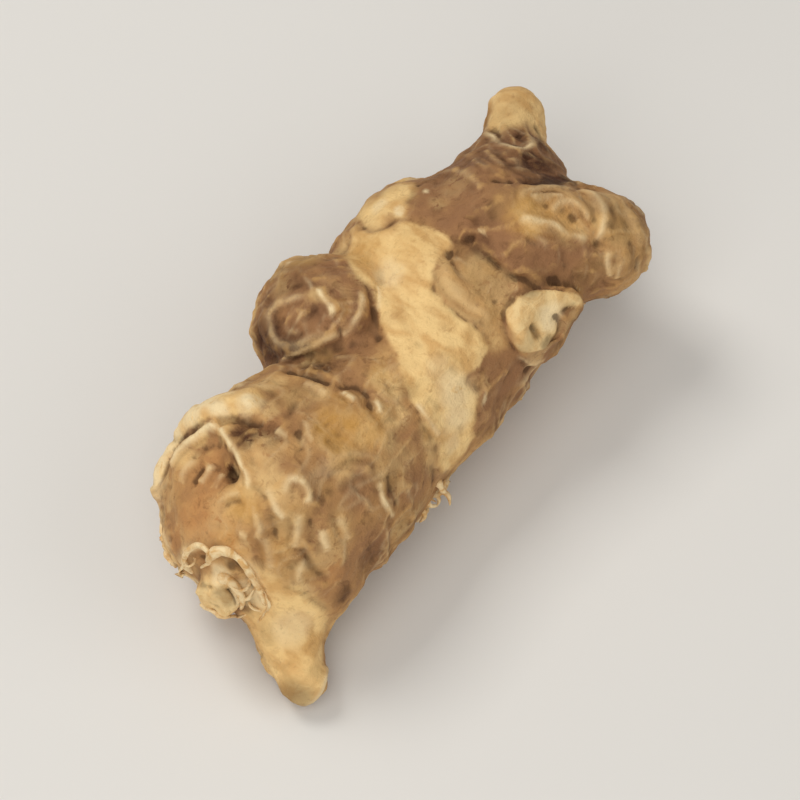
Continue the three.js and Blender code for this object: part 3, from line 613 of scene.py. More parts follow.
# Raised lines: the path, half the width, the height, and how pale the crest is.
RIDGES = [
    # Round the eye-shaped scar.
    ([(16.6, 14.2), (15.4, 14.2), (14.3, 14.6), (13.0, 15.3), (11.5, 15.6), (10.0, 15.6)], 0.38, 0.3, 0.6),
    ([(10.4, 17.0), (11.5, 17.9), (13.6, 18.5), (15.3, 18.5)], 0.42, 0.34, 0.4),
    ([(15.4, 18.6), (16.9, 17.8), (17.5, 16.4), (17.6, 15.0), (17.1, 13.7)], 0.42, 0.42, 0.5),
    ([(11.3, 17.2), (12.4, 17.4), (13.6, 17.5), (14.5, 17.3)], 0.3, 0.22, 0.5),
    ([(11.0, 15.2), (12.6, 14.7), (14.4, 14.2), (16.0, 13.7)], 0.4, 0.2, 0.15),
    ([(11.6, 17.2), (12.2, 17.0), (12.9, 17.2), (13.1, 17.7)], 0.26, 0.22, 0.5),
    ([(13.3, 16.0), (13.9, 16.8), (15.0, 17.0), (15.9, 16.5), (16.3, 15.5)], 0.36, 0.3, 0.4),
    # The end of the side lobe, and the dimple in its bark.
    ([(21.2, 13.4), (21.7, 12.4), (21.4, 11.2)], 0.45, 0.3, 0.4),
    ([(18.4, 13.2), (18.1, 12.3), (18.2, 11.2)], 0.3, 0.22, 0.45),
    ([(19.6, 12.7), (19.0, 11.9), (18.8, 10.9)], 0.24, 0.16, 0.35),
    ([(20.6, 15.2), (21.3, 13.8), (21.6, 12.2), (21.4, 11.0)], 0.26, 0.22, 0.45),
    ([(19.6, 16.4), (20.3, 15.4), (20.7, 14.2)], 0.26, 0.2, 0.3),
    ([(19.4, 16.8), (20.4, 15.0), (20.8, 13.4)], 0.6, 0.25, 0.2),
    ([(10.7, 14.5), (11.6, 14.4), (12.6, 13.6), (12.7, 12.8)], 0.34, 0.18, 0.2),
    # The neck.
    ([(12.1, 23.5), (11.3, 22.6), (10.1, 22.4), (8.8, 23.0), (8.0, 23.5), (7.3, 24.1)], 0.34, 0.4, 0.75),
    ([(5.8, 21.9), (6.8, 20.8), (8.0, 20.0)], 0.4, 0.25, 0.12),
    ([(7.4, 22.2), (8.4, 21.0), (9.2, 20.2)], 0.4, 0.25, 0.12),
    ([(9.6, 21.4), (10.4, 20.6), (10.4, 19.9)], 0.5, 0.25, 0.15),
    ([(3.6, 20.0), (5.0, 20.0), (6.4, 19.2), (7.2, 18.2)], 0.4, 0.2, 0.15),
    # The edge between the stripe and the flank, and the folds beside it.
    ([(1.2, -0.3), (2.0, -1.3), (2.9, -2.4), (3.6, -3.2)], 0.32, 0.3, 0.85),
    ([(3.2, 12.0), (4.4, 9.6), (6.0, 8.0), (7.8, 6.4)], 0.6, 0.2, 0.15),
    ([(6.9, 14.7), (7.6, 14.4)], 0.3, 0.2, 0.5), ([(9.9, 4.0), (11.2, 3.2), (12.8, 3.4)], 0.35, 0.3, 0.4),
    ([(-2.1, 9.9), (-1.8, 8.8), (-1.9, 7.6)], 0.32, 0.25, 0.7),
    # The knob's rings, from the outside in, and the rim beneath it.
    ([(-12.2, 3.7), (-13.2, 5.0), (-13.7, 6.6), (-13.5, 8.4), (-12.6, 10.2)], 0.4, 0.25, 0.3),
    (
        [
            (-6.4, 6.2), (-8.0, 5.2), (-10.0, 5.0), (-11.1, 6.0), (-11.4, 7.3), (-10.7, 8.2), (-9.1, 8.9),
            (-7.8, 9.3),
        ],
        0.42, 0.4, 0.3,
    ),
    ([(-8.2, 6.2), (-9.3, 6.1), (-9.8, 6.9), (-9.1, 7.7), (-8.1, 7.7)], 0.34, 0.22, 0.15),
    ([(-7.3, 9.9), (-6.6, 8.7), (-6.0, 7.7), (-5.9, 7.1)], 0.3, 0.35, 0.95),
    ([(-3.8, 9.6), (-3.4, 8.8), (-3.6, 7.4), (-4.2, 6.3), (-5.1, 5.6)], 0.34, 0.3, 0.5),
    ([(-10.1, 2.9), (-8.6, 4.1), (-7.1, 4.9), (-6.0, 5.4), (-5.0, 5.7)], 0.4, 0.5, 0.35),
    ([(-11.6, 11.5), (-10.2, 12.2), (-8.6, 12.9)], 0.4, 0.15, 0.3),
    # Flecks and folds below it.
    ([(-8.4, 1.5), (-7.2, 1.3), (-6.2, 0.5)], 0.5, 0.32, 0.3),
    ([(-4.9, 0.8), (-4.4, 0.4), (-3.9, -0.3)], 0.34, 0.3, 0.75),
    ([(-2.2, -0.1), (-1.9, -0.7), (-1.9, -1.3)], 0.3, 0.35, 0.85),
    ([(-10.5, -2.5), (-9.6, -3.0)], 0.36, 0.25, 0.8),
    ([(-8.2, -1.6), (-7.9, -2.7), (-7.6, -3.6)], 0.34, 0.3, 0.5),
    # The disc-shaped scar.
    ([(-6.5, -5.6), (-5.4, -5.0), (-4.2, -4.6), (-2.6, -4.7), (-1.9, -5.4)], 0.4, 0.14, 0.2),
    ([(-5.5, -7.6), (-5.0, -6.5), (-4.1, -5.95), (-3.0, -6.0), (-2.2, -6.8)], 0.5, 0.14, 0.1),
    ([(-1.9, -7.0), (-1.6, -8.2), (-1.2, -9.1), (-0.5, -9.9)], 0.26, 0.3, 0.85),
    # Wavy folds towards the finger.
    ([(-11.4, -7.4), (-10.9, -8.2), (-10.4, -9.2), (-9.8, -10.1)], 0.42, 0.34, 0.75),
    ([(-9.9, -7.9), (-9.3, -7.0), (-8.4, -7.1), (-7.9, -8.0), (-8.2, -8.9)], 0.4, 0.32, 0.7),
    ([(-6.8, -11.0), (-6.5, -12.0), (-6.4, -12.9)], 0.42, 0.26, 0.55),
    ([(-8.8, -9.6), (-8.7, -11.2), (-9.1, -12.6)], 0.5, 0.26, 0.4),
    ([(-5.4, -9.8), (-4.8, -10.8), (-4.6, -11.9)], 0.5, 0.24, 0.35),
    ([(-11.6, -11.4), (-11.2, -12.8), (-10.9, -14.4)], 0.45, 0.24, 0.4),
    ([(-12.4, -9.4), (-12.0, -10.6), (-12.2, -11.8)], 0.4, 0.22, 0.4),
    ([(-7.8, -13.6), (-8.6, -14.6), (-8.4, -15.4)], 0.42, 0.24, 0.4),
    ([(-9.6, -15.2), (-8.4, -15.6), (-7.2, -16.6)], 0.55, 0.2, 0.12),
    # The thick rim round the snapped root.
    (
        [
            (-16.0, -13.3), (-15.0, -12.8), (-13.9, -13.2), (-12.9, -14.2), (-12.2, -15.3), (-11.6, -16.6),
            (-11.4, -17.8),
        ],
        0.5, 0.5, 0.9,
    ),
    ([(-18.5, -14.2), (-18.2, -13.1), (-17.4, -12.4), (-16.6, -12.4), (-16.1, -13.2)], 0.45, 0.4, 0.8),
    # The finger's torn end.
    ([(-9.4, -26.2), (-8.4, -26.2), (-7.3, -25.6), (-6.7, -24.3), (-6.3, -22.6)], 0.34, 0.3, 0.9),
    # The collar's inner lip, the thin line that curls down from it, and the folds in the bowl.
    ([(-19.4, -6.0), (-18.8, -4.6), (-17.9, -3.5), (-16.5, -2.6), (-15.3, -2.3)], 0.42, 0.7, 0.95),
    (
        [(-15.9, -2.4), (-15.0, -3.0), (-14.2, -4.2), (-13.3, -5.7), (-13.0, -6.8), (-13.1, -7.7)],
        0.34, 0.7, 1.1,
    ),
    ([(-17.5, -7.0), (-17.2, -5.9), (-16.6, -5.0)], 0.36, 0.4, 0.55),
    ([(-18.9, -7.2), (-18.6, -6.0), (-18.0, -5.0)], 0.36, 0.36, 0.55),
    ([(-16.4, -7.6), (-16.2, -6.6), (-15.9, -5.8)], 0.34, 0.3, 0.4),
    ([(-15.9, -8.9), (-14.6, -8.1), (-13.7, -7.9)], 0.36, 0.3, 0.3),
    ([(-21.3, -11.0), (-20.6, -13.0), (-19.7, -14.7), (-18.7, -15.9)], 0.4, 0.5, 0.7),
    ([(-13.6, -11.1), (-12.8, -11.6)], 0.4, 0.2, 0.4),
]

# Creases: the path, half the width, the depth, and how much shade is painted in the bottom.
CREASES = [
    # The deep fold under the side lobe, and the pits at its ends.
    (
        [
            (5.7, 13.9), (7.2, 12.5), (8.6, 11.5), (10.2, 10.5), (11.9, 10.1), (13.2, 10.5), (14.6, 10.2),
            (16.4, 9.5),
        ],
        0.38, 0.6, 0.9,
    ),
    ([(5.4, 14.4), (5.8, 14.1), (6.4, 13.7)], 0.5, 0.7, 1.0),
    ([(4.0, 13.1), (4.1, 12.7), (4.3, 12.3)], 0.36, 0.6, 1.0),
    ([(11.3, 10.0), (11.8, 10.1), (12.3, 10.2)], 0.34, 0.5, 1.0),
    ([(10.9, 13.9), (11.5, 13.6), (12.1, 13.2)], 0.3, 0.2, 0.45),
    # The eye-shaped scar.
    ([(15.5, 17.9), (16.4, 17.2), (16.8, 16.3), (16.8, 15.2)], 0.3, 0.3, 0.55),
    ([(14.6, 16.2), (14.9, 15.9), (15.1, 15.5)], 0.4, 0.4, 0.8),
    ([(12.0, 17.8), (13.0, 18.0), (14.4, 17.9)], 0.28, 0.22, 0.4),
    ([(11.4, 16.7), (12.4, 16.7), (13.2, 16.5)], 0.36, 0.2, 0.45),
    ([(12.6, 14.9), (13.6, 14.2), (14.6, 13.4)], 0.34, 0.22, 0.4),
    ([(18.2, 16.9), (18.5, 15.7), (18.4, 14.6)], 0.42, 0.32, 0.55),
    ([(20.7, 12.7), (20.7, 11.3)], 0.3, 0.3, 0.6),
    ([(20.0, 14.2), (20.2, 12.8), (20.0, 11.4)], 0.34, 0.25, 0.4),
    ([(18.9, 13.0), (18.7, 12.0)], 0.24, 0.18, 0.3),
    ([(19.0, 17.2), (19.8, 15.8), (20.2, 14.6)], 0.3, 0.2, 0.3),
    # The neck.
    ([(7.9, 19.4), (8.9, 19.1), (9.9, 19.2)], 0.36, 0.5, 0.9),
    ([(10.4, 19.1), (11.8, 18.9), (13.2, 18.95), (14.8, 19.2)], 0.5, 0.4, 0.9),
    ([(7.9, 24.3), (8.4, 24.0)], 0.42, 0.35, 0.55), ([(10.3, 23.8), (11.1, 23.5)], 0.45, 0.4, 0.7),
    ([(12.2, 24.9), (12.7, 23.8), (12.9, 22.6)], 0.4, 0.3, 0.8),
    ([(6.6, 21.2), (7.6, 20.4), (8.6, 19.6)], 0.3, 0.2, 0.35),
    ([(8.2, 22.4), (9.2, 21.2), (9.6, 20.2)], 0.3, 0.22, 0.4),
    ([(11.0, 21.9), (11.2, 21.0), (11.2, 20.2)], 0.34, 0.25, 0.5),
    # The edges of the stripe.
    ([(-3.8, 15.2), (-2.0, 14.9), (-0.6, 15.5), (0.2, 15.9)], 0.34, 0.22, 0.35),
    ([(0.9, 16.8), (1.1, 18.0), (1.8, 19.2)], 0.34, 0.22, 0.35),
    ([(2.5, 10.6), (3.0, 9.2), (4.2, 7.8), (6.0, 6.5), (7.7, 5.0)], 0.28, 0.24, 0.4),
    ([(4.3, 12.4), (5.3, 10.8), (6.4, 9.8)], 0.3, 0.2, 0.35),
    ([(8.0, 8.6), (8.4, 7.8), (8.4, 7.2)], 0.34, 0.18, 0.3),
    ([(-4.2, 11.0), (-2.9, 9.9), (-2.4, 8.1), (-2.1, 6.0), (-1.7, 4.6)], 0.4, 0.35, 0.5),
    ([(1.4, -1.5), (2.3, -2.7), (3.2, -3.9)], 0.36, 0.25, 0.35),
    ([(2.7, -5.6), (2.95, -6.4), (2.9, -7.2)], 0.34, 0.4, 0.85),
    ([(0.3, 2.2), (0.9, 1.2), (1.3, 0.2)], 0.34, 0.2, 0.25),
    # Short marks on the stripe.
    ([(1.3, 5.2), (2.0, 4.7)], 0.3, 0.12, 0.2), ([(2.8, 4.0), (3.6, 3.5)], 0.34, 0.14, 0.28),
    ([(4.4, 2.8), (5.2, 2.3)], 0.34, 0.12, 0.22), ([(2.2, 0.1), (2.9, -0.3), (3.4, -1.0)], 0.34, 0.16, 0.4),
    ([(5.1, -2.2), (5.5, -2.9)], 0.34, 0.14, 0.3),
    # The cut face: its slit, the brown wedge beside it and the fold round it.
    ([(11.5, 6.7), (11.8, 6.1), (12.2, 5.3)], 0.42, 1.1, 0.9),
    ([(15.6, 8.3), (14.9, 7.9), (14.3, 7.2)], 0.4, 0.3, 0.45), ([(13.0, 5.7), (13.4, 5.3)], 0.3, 0.3, 0.4),
    ([(10.4, 9.5), (9.2, 8.1), (9.1, 6.6), (9.6, 5.0), (10.4, 3.9)], 0.4, 0.3, 0.45),
    # The knob's rings and the crease beneath it.
    ([(-12.8, 8.6), (-12.6, 6.6), (-11.8, 4.8), (-10.4, 3.8)], 0.45, 0.3, 0.4),
    ([(-10.4, 7.3), (-10.1, 6.9)], 0.34, 0.3, 0.7),
    ([(-8.4, 6.8), (-7.4, 7.4), (-7.0, 8.2)], 0.34, 0.2, 0.35),
    ([(-9.4, 4.5), (-7.9, 4.9), (-6.4, 5.8)], 0.26, 0.22, 0.4),
    ([(-5.3, 9.3), (-4.9, 8.2), (-5.0, 7.0)], 0.34, 0.2, 0.3),
    ([(-9.6, 10.0), (-8.0, 10.3), (-6.4, 10.2)], 0.34, 0.18, 0.3),
    ([(-9.9, 2.7), (-9.2, 2.4), (-7.4, 2.1), (-5.7, 1.4)], 0.4, 1.0, 1.0),
    ([(-5.8, 1.5), (-3.8, 1.1), (-2.8, 0.2), (-2.5, -1.4)], 0.36, 0.6, 0.9),
    ([(-12.5, 3.8), (-12.0, 3.4)], 0.35, 0.4, 0.7),
    # The lower body.
    ([(-8.8, 0.2), (-9.2, -0.6), (-9.7, -1.6)], 0.34, 0.35, 0.6),
    ([(-8.8, -2.3), (-8.5, -3.3), (-8.4, -4.4)], 0.3, 0.25, 0.4),
    ([(-12.7, -7.1), (-12.1, -7.6), (-11.2, -8.4)], 0.34, 0.3, 0.5),
    ([(-6.3, -3.4), (-5.5, -3.9), (-4.7, -4.1)], 0.4, 0.2, 0.3),
    (
        [(-6.2, -7.4), (-5.7, -6.3), (-4.7, -5.5), (-3.6, -5.2), (-2.4, -5.6), (-1.8, -6.6)],
        0.32, 0.25, 0.35,
    ),
    ([(-1.2, -6.2), (-0.9, -7.1), (-0.5, -8.3), (-0.1, -9.1)], 0.34, 0.3, 0.45),
    ([(-7.5, -7.7), (-7.0, -8.3), (-6.2, -8.7)], 0.45, 0.25, 0.35),
    ([(-11.4, -9.2), (-10.7, -10.6), (-10.4, -12.0)], 0.34, 0.22, 0.35),
    ([(-7.6, -9.9), (-7.4, -11.4), (-7.5, -12.3)], 0.34, 0.25, 0.4),
    ([(-8.4, -12.4), (-7.9, -13.3), (-7.2, -14.4), (-6.3, -15.2)], 0.38, 0.35, 0.6),
    ([(-10.2, -12.6), (-9.9, -13.7)], 0.4, 0.2, 0.3),
    ([(-8.4, -16.1), (-7.5, -17.1), (-6.4, -18.2)], 0.36, 0.3, 0.4),
    ([(-9.1, -8.0), (-9.1, -8.4)], 0.34, 0.25, 0.4),
    ([(-5.8, -9.4), (-5.4, -10.6), (-5.4, -11.8)], 0.36, 0.2, 0.3),
    ([(-3.0, -9.4), (-2.2, -10.0)], 0.4, 0.2, 0.25), ([(-10.2, -25.6), (-9.6, -26.2)], 0.4, 0.4, 0.7),
    # The collar and the bowl.
    ([(-19.6, -4.2), (-18.7, -3.4), (-17.6, -2.8), (-16.4, -2.2)], 0.26, 0.3, 0.5),
    ([(-14.6, -1.9), (-13.4, -1.8), (-12.2, -2.0), (-11.2, -1.9)], 0.4, 0.5, 0.8),
    ([(-18.4, -5.2), (-17.6, -4.2), (-16.6, -3.6), (-15.4, -3.6)], 0.4, 0.4, 0.4),
    ([(-15.6, -9.4), (-14.3, -8.7), (-13.2, -8.8)], 0.34, 0.25, 0.35),
    ([(-20.3, -7.6), (-19.6, -7.2)], 0.3, 0.25, 0.4),
    ([(-15.5, -5.4), (-14.9, -5.9), (-14.4, -6.6)], 0.8, 0.7, 0.5),
    ([(-18.2, -7.2), (-17.9, -6.2), (-17.3, -5.3)], 0.34, 0.3, 0.45),
    # Round the snapped root.
    ([(-14.9, -13.6), (-13.8, -14.2), (-13.0, -15.2), (-12.6, -16.6)], 0.42, 0.6, 0.9),
    ([(-14.6, -15.9), (-14.3, -17.0), (-13.8, -18.0)], 0.36, 0.6, 0.9),
    ([(-17.1, -13.4), (-16.5, -13.6)], 0.36, 0.5, 0.9),
]


def limb_weight(skin, name, softness=1.0):
    """1 where a limb is the one that shows, fading to 0 where others do."""
    others = np.delete(skin.limbs, NAMES.index(name), axis=1).min(axis=1)
    return smooth_step(-softness, softness, others - skin.limbs[:, NAMES.index(name)])


def add_lumps(skin):
    """Broad unevenness from drying."""
    skin.height += 0.42 * noise(skin.points / 7.0, 1) + 0.26 * noise(skin.points / 3.4, 2)
    skin.height += 0.1 * noise(skin.points / 1.7, 3)


def add_wrinkles(skin, height):
    """Soft folds that run along each limb, and a fine grain."""
    place = np.column_stack([skin.beside, skin.above, skin.along / 3.2 + 9 * skin.owner])
    bent = place + 0.5 * np.stack([noise(skin.points / 3, seed) for seed in (7, 8, 9)], axis=1)
    long_folds = crests(bent / 2.1, 5, 2.0)
    fine_folds = crests(bent / 1.05, 6, 1.8)
    patchy = smooth_step(-0.5, 0.5, noise(skin.points / 6.5, 10))
    folds = long_folds * (0.3 + 0.7 * patchy) + 0.3 * fine_folds * (1 - 0.5 * patchy)
    skin.height += height * skin.apart * (folds - 0.4)
    skin.mark("edge", 0.3 * (1 - 0.5 * skin.seen) * skin.apart * patchy * smooth_step(0.75, 1.0, long_folds))
    skin.height += 0.22 * height * noise(skin.points / 0.9, 12)


def add_rings(skin):
    """The ledges that the scale leaves left round each limb: a slow rise and a sudden drop, with shade
    painted at the foot of each drop.
    """
    gap = np.array([limb.ring_gap or 1 for limb in LIMBS])[skin.owner]
    tall = np.array([limb.ring_height for limb in LIMBS])[skin.owner]
    lean = 0.2 * np.sin(skin.angle + skin.owner) + 0.12 * np.sin(2 * skin.angle + 1.3)
    turns = skin.along / gap + lean + 0.34 * noise(skin.points / 5.5, 14)
    turns += 0.07 * noise(skin.points / 1.5, 15)
    share = turns - np.floor(turns)
    lip = 0.88
    profile = np.where(share < lip, (share / lip) ** 2.2, (1 - share) / (1 - lip))
    shown = skin.apart * smooth_step(-0.3, 0.4, noise(skin.points / 4.5 + np.floor(turns)[:, None], 16))
    shown = shown * (1 - 0.6 * skin.seen)
    skin.height += tall * shown * (profile - 0.4)
    ragged = smooth_step(-0.25, 0.35, noise(skin.points / 1.3, 17))
    skin.mark("edge", 0.7 * shown * (tall > 0) * bell(share - lip, 0.05) * ragged)
    skin.mark("crease_shade_and_fleck", 0.5 * shown * (tall > 0) * np.maximum(bell(share - 1, 0.04), bell(share, 0.05)))


def add_flaking(skin):
    """Thin bark that has flaked away in patches, with a pale torn edge round each patch."""
    level = noise(skin.wavy / 4.2, 20) + 0.35 * noise(skin.wavy / 1.5, 21)
    step = smooth_step(0.1, 0.16, level)
    skin.height += 0.14 * step * (1 - 0.5 * skin.seen)
    torn = bell(level - 0.13, 0.03) * smooth_step(-0.1, 0.3, noise(skin.points / 3, 22))
    skin.mark("edge", 0.45 * torn * (1 - 0.75 * skin.seen))
    skin.mark("worn", 0.3 * (1 - step) * smooth_step(0.0, 0.5, noise(skin.points / 5, 23)))


def add_bark(skin):
    """Where the mauve-brown outer bark is whole, and what other colours the dried skin has."""
    for outline in (BARK_BAND, BARK_FLANK, BARK_SHOULDER):
        whole = skin.inside(outline, 0.6)
        skin.mark("bark", whole)
        skin.unmark("edge", 0.6 * whole)
        skin.unmark("crease_shade_and_fleck", 0.4 * whole)
        skin.unmark("worn", whole)
    skin.mark("bark", 0.9 * limb_weight(skin, "knob") * skin.seen)
    hidden = 1 - skin.seen
    skin.mark("bark", hidden * smooth_step(-0.3, 0.3, layered(skin.points / 6, 2, 25)))
    skin.mark("rust", 0.7 * hidden * smooth_step(0.1, 0.6, layered(skin.points / 8, 2, 27)))
    skin.mark("ochre", 0.4 * hidden * smooth_step(0.15, 0.6, layered(skin.points / 5, 2, 28)))
    skin.mark("olive", 0.35 * hidden * smooth_step(0.2, 0.6, layered(skin.points / 6, 2, 30)))
    skin.mark("deep", 0.5 * hidden * smooth_step(0.3, 0.7, layered(skin.points / 6, 2, 32)))
    skin.mark("worn", 0.75 * hidden * smooth_step(0.35, 0.6, layered(skin.points / 7, 2, 29)))


def add_worn_places(skin):
    """The smooth pale stripe over the middle, the pale shoulder, the finger and the tip of the neck."""
    smooth = skin.blurred(skin.height, 16)
    stripe = skin.inside(WORN_STRIPE, 0.35)
    skin.height += stripe * (0.75 * (smooth - skin.height) + 0.24)
    places = [
        (stripe, 1.0), (skin.inside(PINK_EDGE, 0.5), 0.4), (skin.inside(WORN_SHOULDER, 0.5), 0.8),
        (skin.inside(PALE_FINGER, 1.2), 0.9), (skin.inside(NECK_TIP, 0.5), 0.75),
    ]
    for place, amount in places:
        skin.height += 0.5 * place * (smooth - skin.height)
        skin.unmark("edge", 0.8 * place)
        skin.unmark("crease_shade_and_fleck", 0.9 * place)
        skin.unmark("bark", 0.8 * amount * place)
        skin.mark("worn", amount * place)


def add_rooted_end(skin):
    """The open socket with its orange bowl and thick pale collar."""
    smooth = skin.blurred(skin.height, 12)
    bowl = np.array(skin.spot((-16.5, -6.0)))
    gap = np.linalg.norm(skin.wavy - bowl, axis=1)
    calm = bell(gap, 4.5)
    skin.height += 0.6 * calm * (smooth - skin.height) - 1.5 * bell(gap, 2.5)
    skin.unmark("crease_shade_and_fleck", calm)
    skin.unmark("edge", calm)
    gap, share = skin.gap_to(COLLAR, 0.15, 80)
    ends = smooth_step(0, 0.1, share) * smooth_step(1, 0.9, share)
    lip = np.where(gap > 0, bell(gap, 2.4), smooth_step(-1.5, -0.3, gap)) * ends
    hidden = 1 - skin.seen
    broken = hidden * smooth_step(0.1, -0.5, noise(skin.points / 2.0, 67))
    skin.height += 1.1 * lip * (1 + 0.15 * noise(skin.points / 1.8, 63)) * (1 - 0.35 * broken)
    outer = gap + 0.9 * hidden * noise(skin.points / 1.5, 65)
    band = smooth_step(-1.3, -0.8, gap) * smooth_step(1.9, 0.5, outer) * ends * (1 - 0.75 * broken)
    for name in ("bark", "rust", "olive", "crease_shade_and_fleck"):
        skin.unmark(name, 1.3 * band)
    skin.mark("worn", 1.5 * band)
    skin.mark("edge", 0.85 * band * smooth_step(-0.6, 0.2, noise(skin.points / 1.6, 64)))
    skin.scar(skin.spot((-14.9, -6.0)), 1.2, rim=0.0, depth=0.8, pale=0.0, pit=0.15)


def add_eye(skin):
    """The low, eye-shaped swelling that a root grew from."""
    smooth = skin.blurred(skin.height, 12)
    eye = skin.inside(EYE, 0.7)
    skin.height += eye * (0.6 * (smooth - skin.height) + 0.18)
    skin.unmark("bark", 0.8 * eye)
    skin.unmark("crease_shade_and_fleck", 0.8 * eye)
    skin.mark("worn", 0.2 * eye)


def cut_face(skin, name, reach=0.5):
    """1 on the flat face of a limb that is cut, and 0 away from it."""
    centre, axis, _ = LIMBS[NAMES.index(name)].cut
    return limb_weight(skin, name, 0.4) * bell((skin.points - centre) @ unit(axis), reach)


def add_cut_ends(skin):
    """The cut shoot's face, with bark left over its right side, and the face of the snapped root."""
    smooth = skin.blurred(skin.height, 12)
    face = skin.inside(CUT_FACE, 0.22)
    left = cut_face(skin, "cut_stub") * (1 - face)
    skin.height -= 0.45 * left
    skin.mark("bark", left)
    stub = cut_face(skin, "root_stub", 1.1)
    for place in (face, stub):
        skin.height += 0.8 * place * (smooth - skin.height)
        skin.mark("cut", place)
        skin.mark("worn", place)
        for name in ("crease_shade_and_fleck", "edge", "bark", "deep"):
            skin.unmark(name, place)
    skin.height += 0.3 * stub * layered(skin.points / 0.9, 2, 66)
    skin.scar(skin.spot((-16.7, -16.3)), 0.5, rim=0.0, depth=0.5, pale=0.0)


def add_neck(skin):
    """The rough dark neck under its pale tip."""
    weight = limb_weight(skin, "neck")
    tip = smooth_step(24.2, 26.4, skin.points[:, 0])
    skin.mark("bark", weight * (1 - tip))
    skin.mark("worn", 0.75 * weight * tip)
    skin.height += 0.16 * weight * (1 - tip) * noise(skin.points / 1.6, 50)
    skin.unmark("crease_shade_and_fleck", 0.7 * weight)
    skin.mark("deep", 0.35 * weight * (1 - tip))


def add_near_details(skin):
    """The tints, raised lines and creases that can be told apart on the near side."""
    for name, place, radius, amount in TINTS:
        skin.patch(name, place, radius, amount)
    for path, width, height, pale in RIDGES:
        skin.ridge(path, width, height, pale)
    for path, width, depth, dark in CREASES:
        skin.groove(path, width, depth, dark)


# Root scars on the sides that the camera doesn't see: a point inside, the way out, and the radius.
FAR_SCARS = [
    ((-17, 0, 9), (-0.5, 0.85, -0.1), 2.4), ((-11, -1, 9), (-0.1, 0.9, 0.35), 1.5),
    ((-6, -2, 9), (0.1, -0.75, -0.6), 1.8), ((2, -2, 9), (0.0, -0.9, -0.3), 1.3),
    ((10, 0, 10), (0.2, -0.5, -0.8), 2.1), ((9, 5, 10), (0.1, 0.9, -0.35), 1.9),
    ((17, 3, 11), (0.3, 0.8, -0.3), 1.2), ((-14, -1, 9), (-0.2, -0.5, -0.85), 1.6),
    ((18, -5, 12), (0.7, -0.5, -0.5), 1.5), ((-20, -1, 9), (-0.8, 0.5, -0.4), 1.5),
    ((0, -2, 9), (0.3, 0.4, -0.85), 1.4), ((14, 1, 10), (0.6, -0.2, -0.75), 1.3),
    ((-8, -1, 9), (0.0, 0.95, -0.2), 1.1), ((5, -1, 9), (0.1, -0.95, 0.15), 1.0),
]


def shape_skin(sizes):
    """All the relief, in millimetres, and the marks that the bark's colours follow."""
    skin = Skin(*even_skin(sizes.voxel / MM))
    add_lumps(skin)
    add_wrinkles(skin, sizes.wrinkle / MM)
    add_rings(skin)
    add_flaking(skin)
    add_bark(skin)
    add_neck(skin)
    add_worn_places(skin)
    add_rooted_end(skin)
    add_eye(skin)
    add_cut_ends(skin)
    add_near_details(skin)
    for start, axis, radius in FAR_SCARS:
        skin.scar(skin.spot_outward(start, axis), radius, depth=0.45, share=1 - skin.seen)
    skin.mark("cut", cut_face(skin, "finger"))
    raised = skin.points + skin.height[:, None] * skin.normals
    lift = skin.blurred(raised, 1)
    # How sunken each point is, finely and broadly; the material paints shade where it is sunken, and a deeper
    # tan on the crests.
    hollow = np.einsum("ij,ij->i", skin.blurred(lift, 3) - lift, skin.normals)
    deep = np.einsum("ij,ij->i", skin.blurred(lift, 24) - lift, skin.normals)
    skin.marks["hollow"] = np.clip(0.5 + 2.5 * hollow + 1.1 * deep, 0, 1)
    lift[:, 2] = np.maximum(lift[:, 2], 0.0)
    skin.points = lift
    skin.tree = BVHTree.FromPolygons(lift.tolist(), skin.faces)
    return skin


def swept(sections):
    """A closed shape through a row of sections, each the same number of points round a loop."""
    count, around = sections.shape[:2]
    faces = [tuple(range(around))[::-1], tuple(range((count - 1) * around, count * around))]
    for i in range(count - 1):
        for j in range(around):
            k = (j + 1) % around
            low, high = i * around, (i + 1) * around
            faces.append((low + j, low + k, high + k, high + j))
    return sections.reshape(-1, 3), faces


class Parts:
    """Many small closed shapes that are one piece in the end."""

    def __init__(self):
        self.points = []
        self.faces = []
        self.count = 0

    def add(self, sections):
        points, faces = swept(np.asarray(sections))
        points[:, 2] = np.maximum(points[:, 2], 0.0)
        self.points.append(points)
        self.faces += [tuple(corner + self.count for corner in face) for face in faces]
        self.count += len(points)

    def piece(self, name):
        """All the shapes as one mesh piece."""
        if not self.points:
            raise RuntimeError(f"{name} can't be made, because none of its shapes found a place on the skin")
        return new_piece(name, np.concatenate(self.points), self.faces)


def on_skin(skin, line):
    """The nearest points of the finished skin to a line, and the outward directions there."""
    found = [skin.tree.find_nearest(Vector(point)) for point in line]
    points = np.array([hit[0] for hit in found])
    outward = np.array([hit[1] for hit in found])
    for _ in range(3):
        outward[1:-1] = unit(outward[:-2] + 2 * outward[1:-1] + outward[2:])
    return points, unit(outward)


def hidden_run(skin, line):
    """The longest part of a line that the camera doesn't see."""
    points, outward = on_skin(skin, line)
    runs, run = [], []
    for point, normal in zip(points, outward):
        lit = normal @ TOWARDS > -0.05
        if lit and skin.tree.ray_cast(Vector(point + 0.3 * normal), Vector(TOWARDS))[0] is None:
            run = []
        else:
            run = [*run, point]
            runs.append(run)
    return np.array(max(runs, key=len)) if runs else np.zeros((0, 3))


